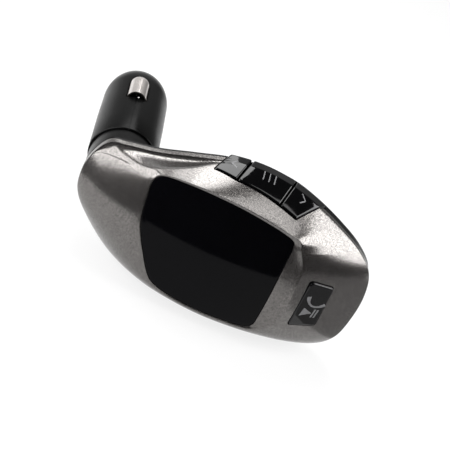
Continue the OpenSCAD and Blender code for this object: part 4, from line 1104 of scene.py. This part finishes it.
class MakeKeyMarks(bpy.types.Operator):
    """Make the printed marks of the keys"""
    bl_idname = "fm.make_key_marks"
    bl_label = "Key marks"

    def execute(self, context):
        f = form(context.scene)
        place = pad_frame(f)
        turn = f.k.call_turn

        def on_pad(x, z, lift):
            along = (x - f.call_at[0]) / math.cos(turn)
            return place(np.stack([along, np.full(len(along), -f.k.proud - lift), z - f.call_at[1]], -1))
        x, z, rx, rz, start, end = HANDSET
        a = np.linspace(math.radians(start), math.radians(end), 2 * len(HANDSET_WIDTHS) - 1)
        arc = np.stack([x + rx * np.cos(a), z + rz * np.sin(a)], 1) * MM
        widths = np.array(HANDSET_WIDTHS + HANDSET_WIDTHS[-2::-1]) * MM
        strokes = [ribbon("handset", arc, widths, on_pad, steps=60)]
        for name, path, ends in PLAY_SIGN:
            strokes.append(ribbon(name, np.array(path) * MM, np.array(ends) * MM, on_pad))
        marks = joined("marks_call", strokes)
        dress(marks, material("key_marks"), "call_key")
        grid = crown(f, f.k.proud)

        def on_crown(x, y, lift):
            return np.stack([x, y, height_on(grid, x, y) + lift], -1)
        d = 1.5 * MM
        for k, (name, body, way) in enumerate((
                ("marks_left", "prev_key", -1), ("marks_middle", "channel_key", 0),
                ("marks_right", "next_key", 1))):
            mid = key_quad(f, k).mean(0)
            if way:
                shape = np.array([[-0.5 * way * d, d], [0.55 * way * d, 0], [-0.5 * way * d, -d]]) + mid
                mark = ribbon(name, shape, [0.17 * MM] * 3, on_crown)
            else:
                bars = [ribbon(name, np.array([[s * d, d], [s * d, -d]]) + mid, [0.16 * MM] * 2, on_crown)
                        for s in (-1.2, 0, 1.2)]
                mark = joined(name, bars)
            dress(mark, material("key_marks"), body)
        return {"FINISHED"}


class MakePlug(bpy.types.Operator):
    """Make the two halves of the lighter plug"""
    bl_idname = "fm.make_plug"
    bl_label = "Plug"

    def execute(self, context):
        make_plug(context.scene)
        return {"FINISHED"}


class MakeContacts(bpy.types.Operator):
    """Make the side contacts and the centre contact"""
    bl_idname = "fm.make_contacts"
    bl_label = "Contacts"

    def execute(self, context):
        make_side_contact(context.scene, "contact_upper", 0, "top_contact")
        make_side_contact(context.scene, "contact_lower", 180, "under_contact")
        make_tip(context.scene)
        return {"FINISHED"}


def shown_white(name, c, share):
    """A pale surface that camera, glossy and transmitted rays see as white by that share,
    so that the rest of what they see is its lit colour and its shadows."""
    m = Finish(name, roughness=0.9, specular_ior_level=0.1)
    m.feed("Base Color", m.tint(m.noise(14.0), grown_colour(c, 0.99), grown_colour(c, 1.01)))
    path = m.add("ShaderNodeLightPath")
    seen = m.add("ShaderNodeMath", {0: path.outputs["Is Camera Ray"], 1: path.outputs["Is Glossy Ray"]},
                 operation="MAXIMUM")
    seen = m.add("ShaderNodeMath", {0: seen.outputs[0], 1: path.outputs["Is Transmission Ray"]},
                 operation="MAXIMUM")
    part = m.add("ShaderNodeMath", {0: seen.outputs[0], 1: share}, operation="MULTIPLY")
    glow = m.add("ShaderNodeEmission", {"Color": (1, 1, 1, 1), "Strength": 1.0})
    both = m.add("ShaderNodeMixShader", {0: part.outputs[0], 1: m.shader.outputs[0], 2: glow.outputs[0]})
    m.tree.links.new(both.outputs[0], m.tree.nodes["Material Output"].inputs[0])
    return m.material


def flag_finish(name, glow):
    """Cloth of a studio flag, with the nap's fine cloudiness, that gives off the glow."""
    m = Finish(name, roughness=1.0, specular_ior_level=0.0, emission_strength=glow)
    m.feed("Base Color", m.tint(m.noise(40.0), (0.002,) * 3, (0.004,) * 3))
    m.shader.inputs["Emission Color"].default_value = (1, 1, 1, 1)
    return m.material


def sheet_piece(name, corner, along, up, steps=12):
    """A flat sheet: corner + u along + v up, for u and v from 0 to 1."""
    s = np.linspace(0, 1, steps + 1)
    u, v = np.meshgrid(s, s, indexing="ij")
    points = np.array(corner, float) + u[..., None] * np.array(along) + v[..., None] * np.array(up)
    quads = grid_faces(steps + 1, steps + 1)[:, ::-1]
    mesh = bpy.data.meshes.new(name)
    mesh.from_pydata(points.reshape(-1, 3).tolist(), [], quads.tolist())
    piece = bpy.data.objects.new(name, mesh)
    bpy.context.scene.collection.objects.link(piece)
    return piece


def placed(x, y, z, origin):
    """The matrix of these three axes and the origin."""
    return Matrix(np.vstack([np.column_stack([x, y, z, origin]), [0, 0, 0, 1]]).tolist())


def soft_light(name, place, aim, size, power):
    """A white area lamp at place that faces aim, with that size and power in watts."""
    lamp = bpy.data.lights.new(name, "AREA")
    lamp.shape, lamp.size, lamp.size_y = "RECTANGLE", size[0], size[1]
    lamp.energy = power
    obj = bpy.data.objects.new(name, lamp)
    bpy.context.scene.collection.objects.link(obj)
    back = np.array(place, float) - np.array(aim, float)
    back /= np.linalg.norm(back)
    side = np.cross([0, 0, 1.0], back)
    side = side / np.linalg.norm(side) if np.linalg.norm(side) > 1e-6 else np.array([1.0, 0, 0])
    up = np.cross(back, side)
    obj.matrix_world = placed(side, up, back, place)


# The room is dark, with a pale backdrop low behind the object: its glow is the product of
# fades by direction. Each has its axis, the start and end on it, and the glow at both.
ROOM_FADES = ((1, 0.2, 0.7, 0.0, 0.6), (2, 0.45, 0.62, 1.0, 0.0), (0, 0.1, 0.5, 1.0, 0.35))
ROOM_GLOW = 0.05             # added to that product
# Lamps: name, place, the point that it faces, size and power.
LAMPS = (("lamp_back", (-0.09, 0.21, 0.45), (-0.09, -0.02, 0.02), (0.26, 0.25), 1.7),
         ("lamp_rear", (-0.127, 0.346, 0.335), (0.0, -0.02, 0.02), (0.30, 0.14), 0.55),
         ("lamp_right", (0.465, -0.01, 0.295), (0.06, -0.01, 0), (0.40, 0.33), 2.9),
         ("lamp_above", (0.20, -0.035, 0.45), (0.20, -0.035, 0), (0.26, 0.14), 0.4),
         ("lamp_left", (-0.115, -0.05, 0.07), (0, -0.05, 0.07), (0.22, 0.19), 0.7))
# Flags, which only glossy rays see: name, cloth, corner over the floor, and both sides.
FLAGS = (("flag_front", "flag_black", (-0.5, -0.066, 0), (1.0, 0, 0), (0, -0.16, 0.20)),
         ("flag_left", "flag_black", (-0.21, -0.25, 0.5 * MM), (0.173, 0, 0), (0, 0.30, 0)),
         ("flag_slant", "flag_black", (-0.038, -0.026, 0.7 * MM), (0.050, -0.037, 0), (-0.12, -0.16, 0)),
         ("flag_right", "flag_grey", (0.092, -0.25, 0.5 * MM), (0.21, 0, 0), (0, 0.27, 0)))
# The camera looks down by the first angle and to the right by the second; the third is its roll.
CAMERA_TURNS = (31.13, 15.08, 34.36)
CAMERA_PLACE = (-0.0542, -0.3427, 0.2093)
CAMERA_LENS, CAMERA_SENSOR = 108.1, 36.0


def make_room(scene):
    """The world: a dark room whose glow depends on the direction alone."""
    world = bpy.data.worlds.new("studio")
    scene.world = world
    world.use_nodes = True
    tree = world.node_tree
    back = tree.nodes["Background"]
    back.inputs["Color"].default_value = (1, 1, 1, 1)
    place = add_node(tree, "ShaderNodeTexCoord").outputs["Generated"]
    along = add_node(tree, "ShaderNodeSeparateXYZ", {0: place}).outputs
    glow = 1.0
    for axis, start, end, low, high in ROOM_FADES:
        fade = add_node(tree, "ShaderNodeMapRange", {0: along[axis], 1: start, 2: end, 3: low, 4: high},
                        interpolation_type="SMOOTHSTEP")
        glow = add_node(tree, "ShaderNodeMath", {0: glow, 1: fade.outputs[0]},
                        operation="MULTIPLY").outputs[0]
    lift = add_node(tree, "ShaderNodeMath", {0: glow, 1: ROOM_GLOW})
    tree.links.new(lift.outputs[0], back.inputs["Strength"])


def make_camera(scene):
    """The camera at the photograph's angle, from its axes and its place."""
    a, b, roll = (math.radians(q) for q in CAMERA_TURNS)
    look = np.array([math.sin(b) * math.cos(a), math.cos(b) * math.cos(a), -math.sin(a)])
    right = np.array([math.cos(b), -math.sin(b), 0])
    up = np.array([math.sin(b) * math.sin(a), math.cos(b) * math.sin(a), math.cos(a)])
    right, up = (math.cos(roll) * right + math.sin(roll) * up,
                 -math.sin(roll) * right + math.cos(roll) * up)
    camera = bpy.data.objects.new("camera", bpy.data.cameras.new("camera"))
    camera.data.lens, camera.data.sensor_width = CAMERA_LENS, CAMERA_SENSOR
    camera.data.clip_start, camera.data.clip_end = 0.01, 20.0
    scene.collection.objects.link(camera)
    camera.matrix_world = placed(right, up, -look, CAMERA_PLACE)
    scene.camera = camera


class MakeStage(bpy.types.Operator):
    """Make the floor, the lamps and the camera"""
    bl_idname = "fm.make_stage"
    bl_label = "Stage"

    def execute(self, context):
        scene = context.scene
        level = min(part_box("front_shell")[0][2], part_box("rear_shell")[0][2])
        floor = sheet_piece("floor", (-3, -3, level), (6, 0, 0), (0, 6, 0), 20)
        floor.data.materials.append(shown_white("floor_pale", scene.fm_finishes.floor, 0.8))
        flag_finish("flag_black", 0.0)
        flag_finish("flag_grey", 0.4)
        for name, cloth, corner, along, up in FLAGS:
            flag = sheet_piece(name, np.add(corner, (0, 0, level)), along, up)
            flag.data.materials.append(material(cloth))
            flag.visible_camera = flag.visible_shadow = flag.visible_diffuse = False
        for lamp in LAMPS:
            soft_light(*lamp)
        make_room(scene)
        make_camera(scene)
        scene.view_settings.view_transform = "Standard"
        return {"FINISHED"}


class TransmitterPanel(bpy.types.Panel):
    """Pieces and sizes of the transmitter"""
    bl_idname = "VIEW3D_PT_fm_transmitter"
    bl_label = "FM Transmitter"
    bl_space_type = "VIEW_3D"
    bl_region_type = "UI"
    bl_category = "FM Transmitter"

    def draw(self, context):
        layout = self.layout
        for group in GROUPS:
            box = layout.box()
            box.label(text=GROUPS[group].__doc__)
            for name in GROUPS[group].__annotations__:
                box.prop(getattr(context.scene, group), name)
        for step in STEPS:
            layout.operator(step.bl_idname)


GROUPS = {"fm_head": HeadSizes, "fm_window": WindowSizes, "fm_keys": KeySizes,
          "fm_plug": PlugSizes, "fm_finishes": Finishes}
STEPS = (MakeFinishes, MakeShells, MakeWindow, MakeTopKeys, MakeCallKey, MakeKeyMarks,
         MakePlug, MakeContacts, MakeStage)


def register():
    for cls in (*GROUPS.values(), *STEPS, TransmitterPanel):
        bpy.utils.register_class(cls)
    for name, cls in GROUPS.items():
        setattr(bpy.types.Scene, name, PointerProperty(type=cls))


def unregister():
    for name in GROUPS:
        delattr(bpy.types.Scene, name)
    for cls in reversed((*GROUPS.values(), *STEPS, TransmitterPanel)):
        bpy.utils.unregister_class(cls)


def main():
    register()
    for step in STEPS:
        group, name = step.bl_idname.split(".")
        getattr(getattr(bpy.ops, group), name)()


if __name__ == "__main__":
    main()
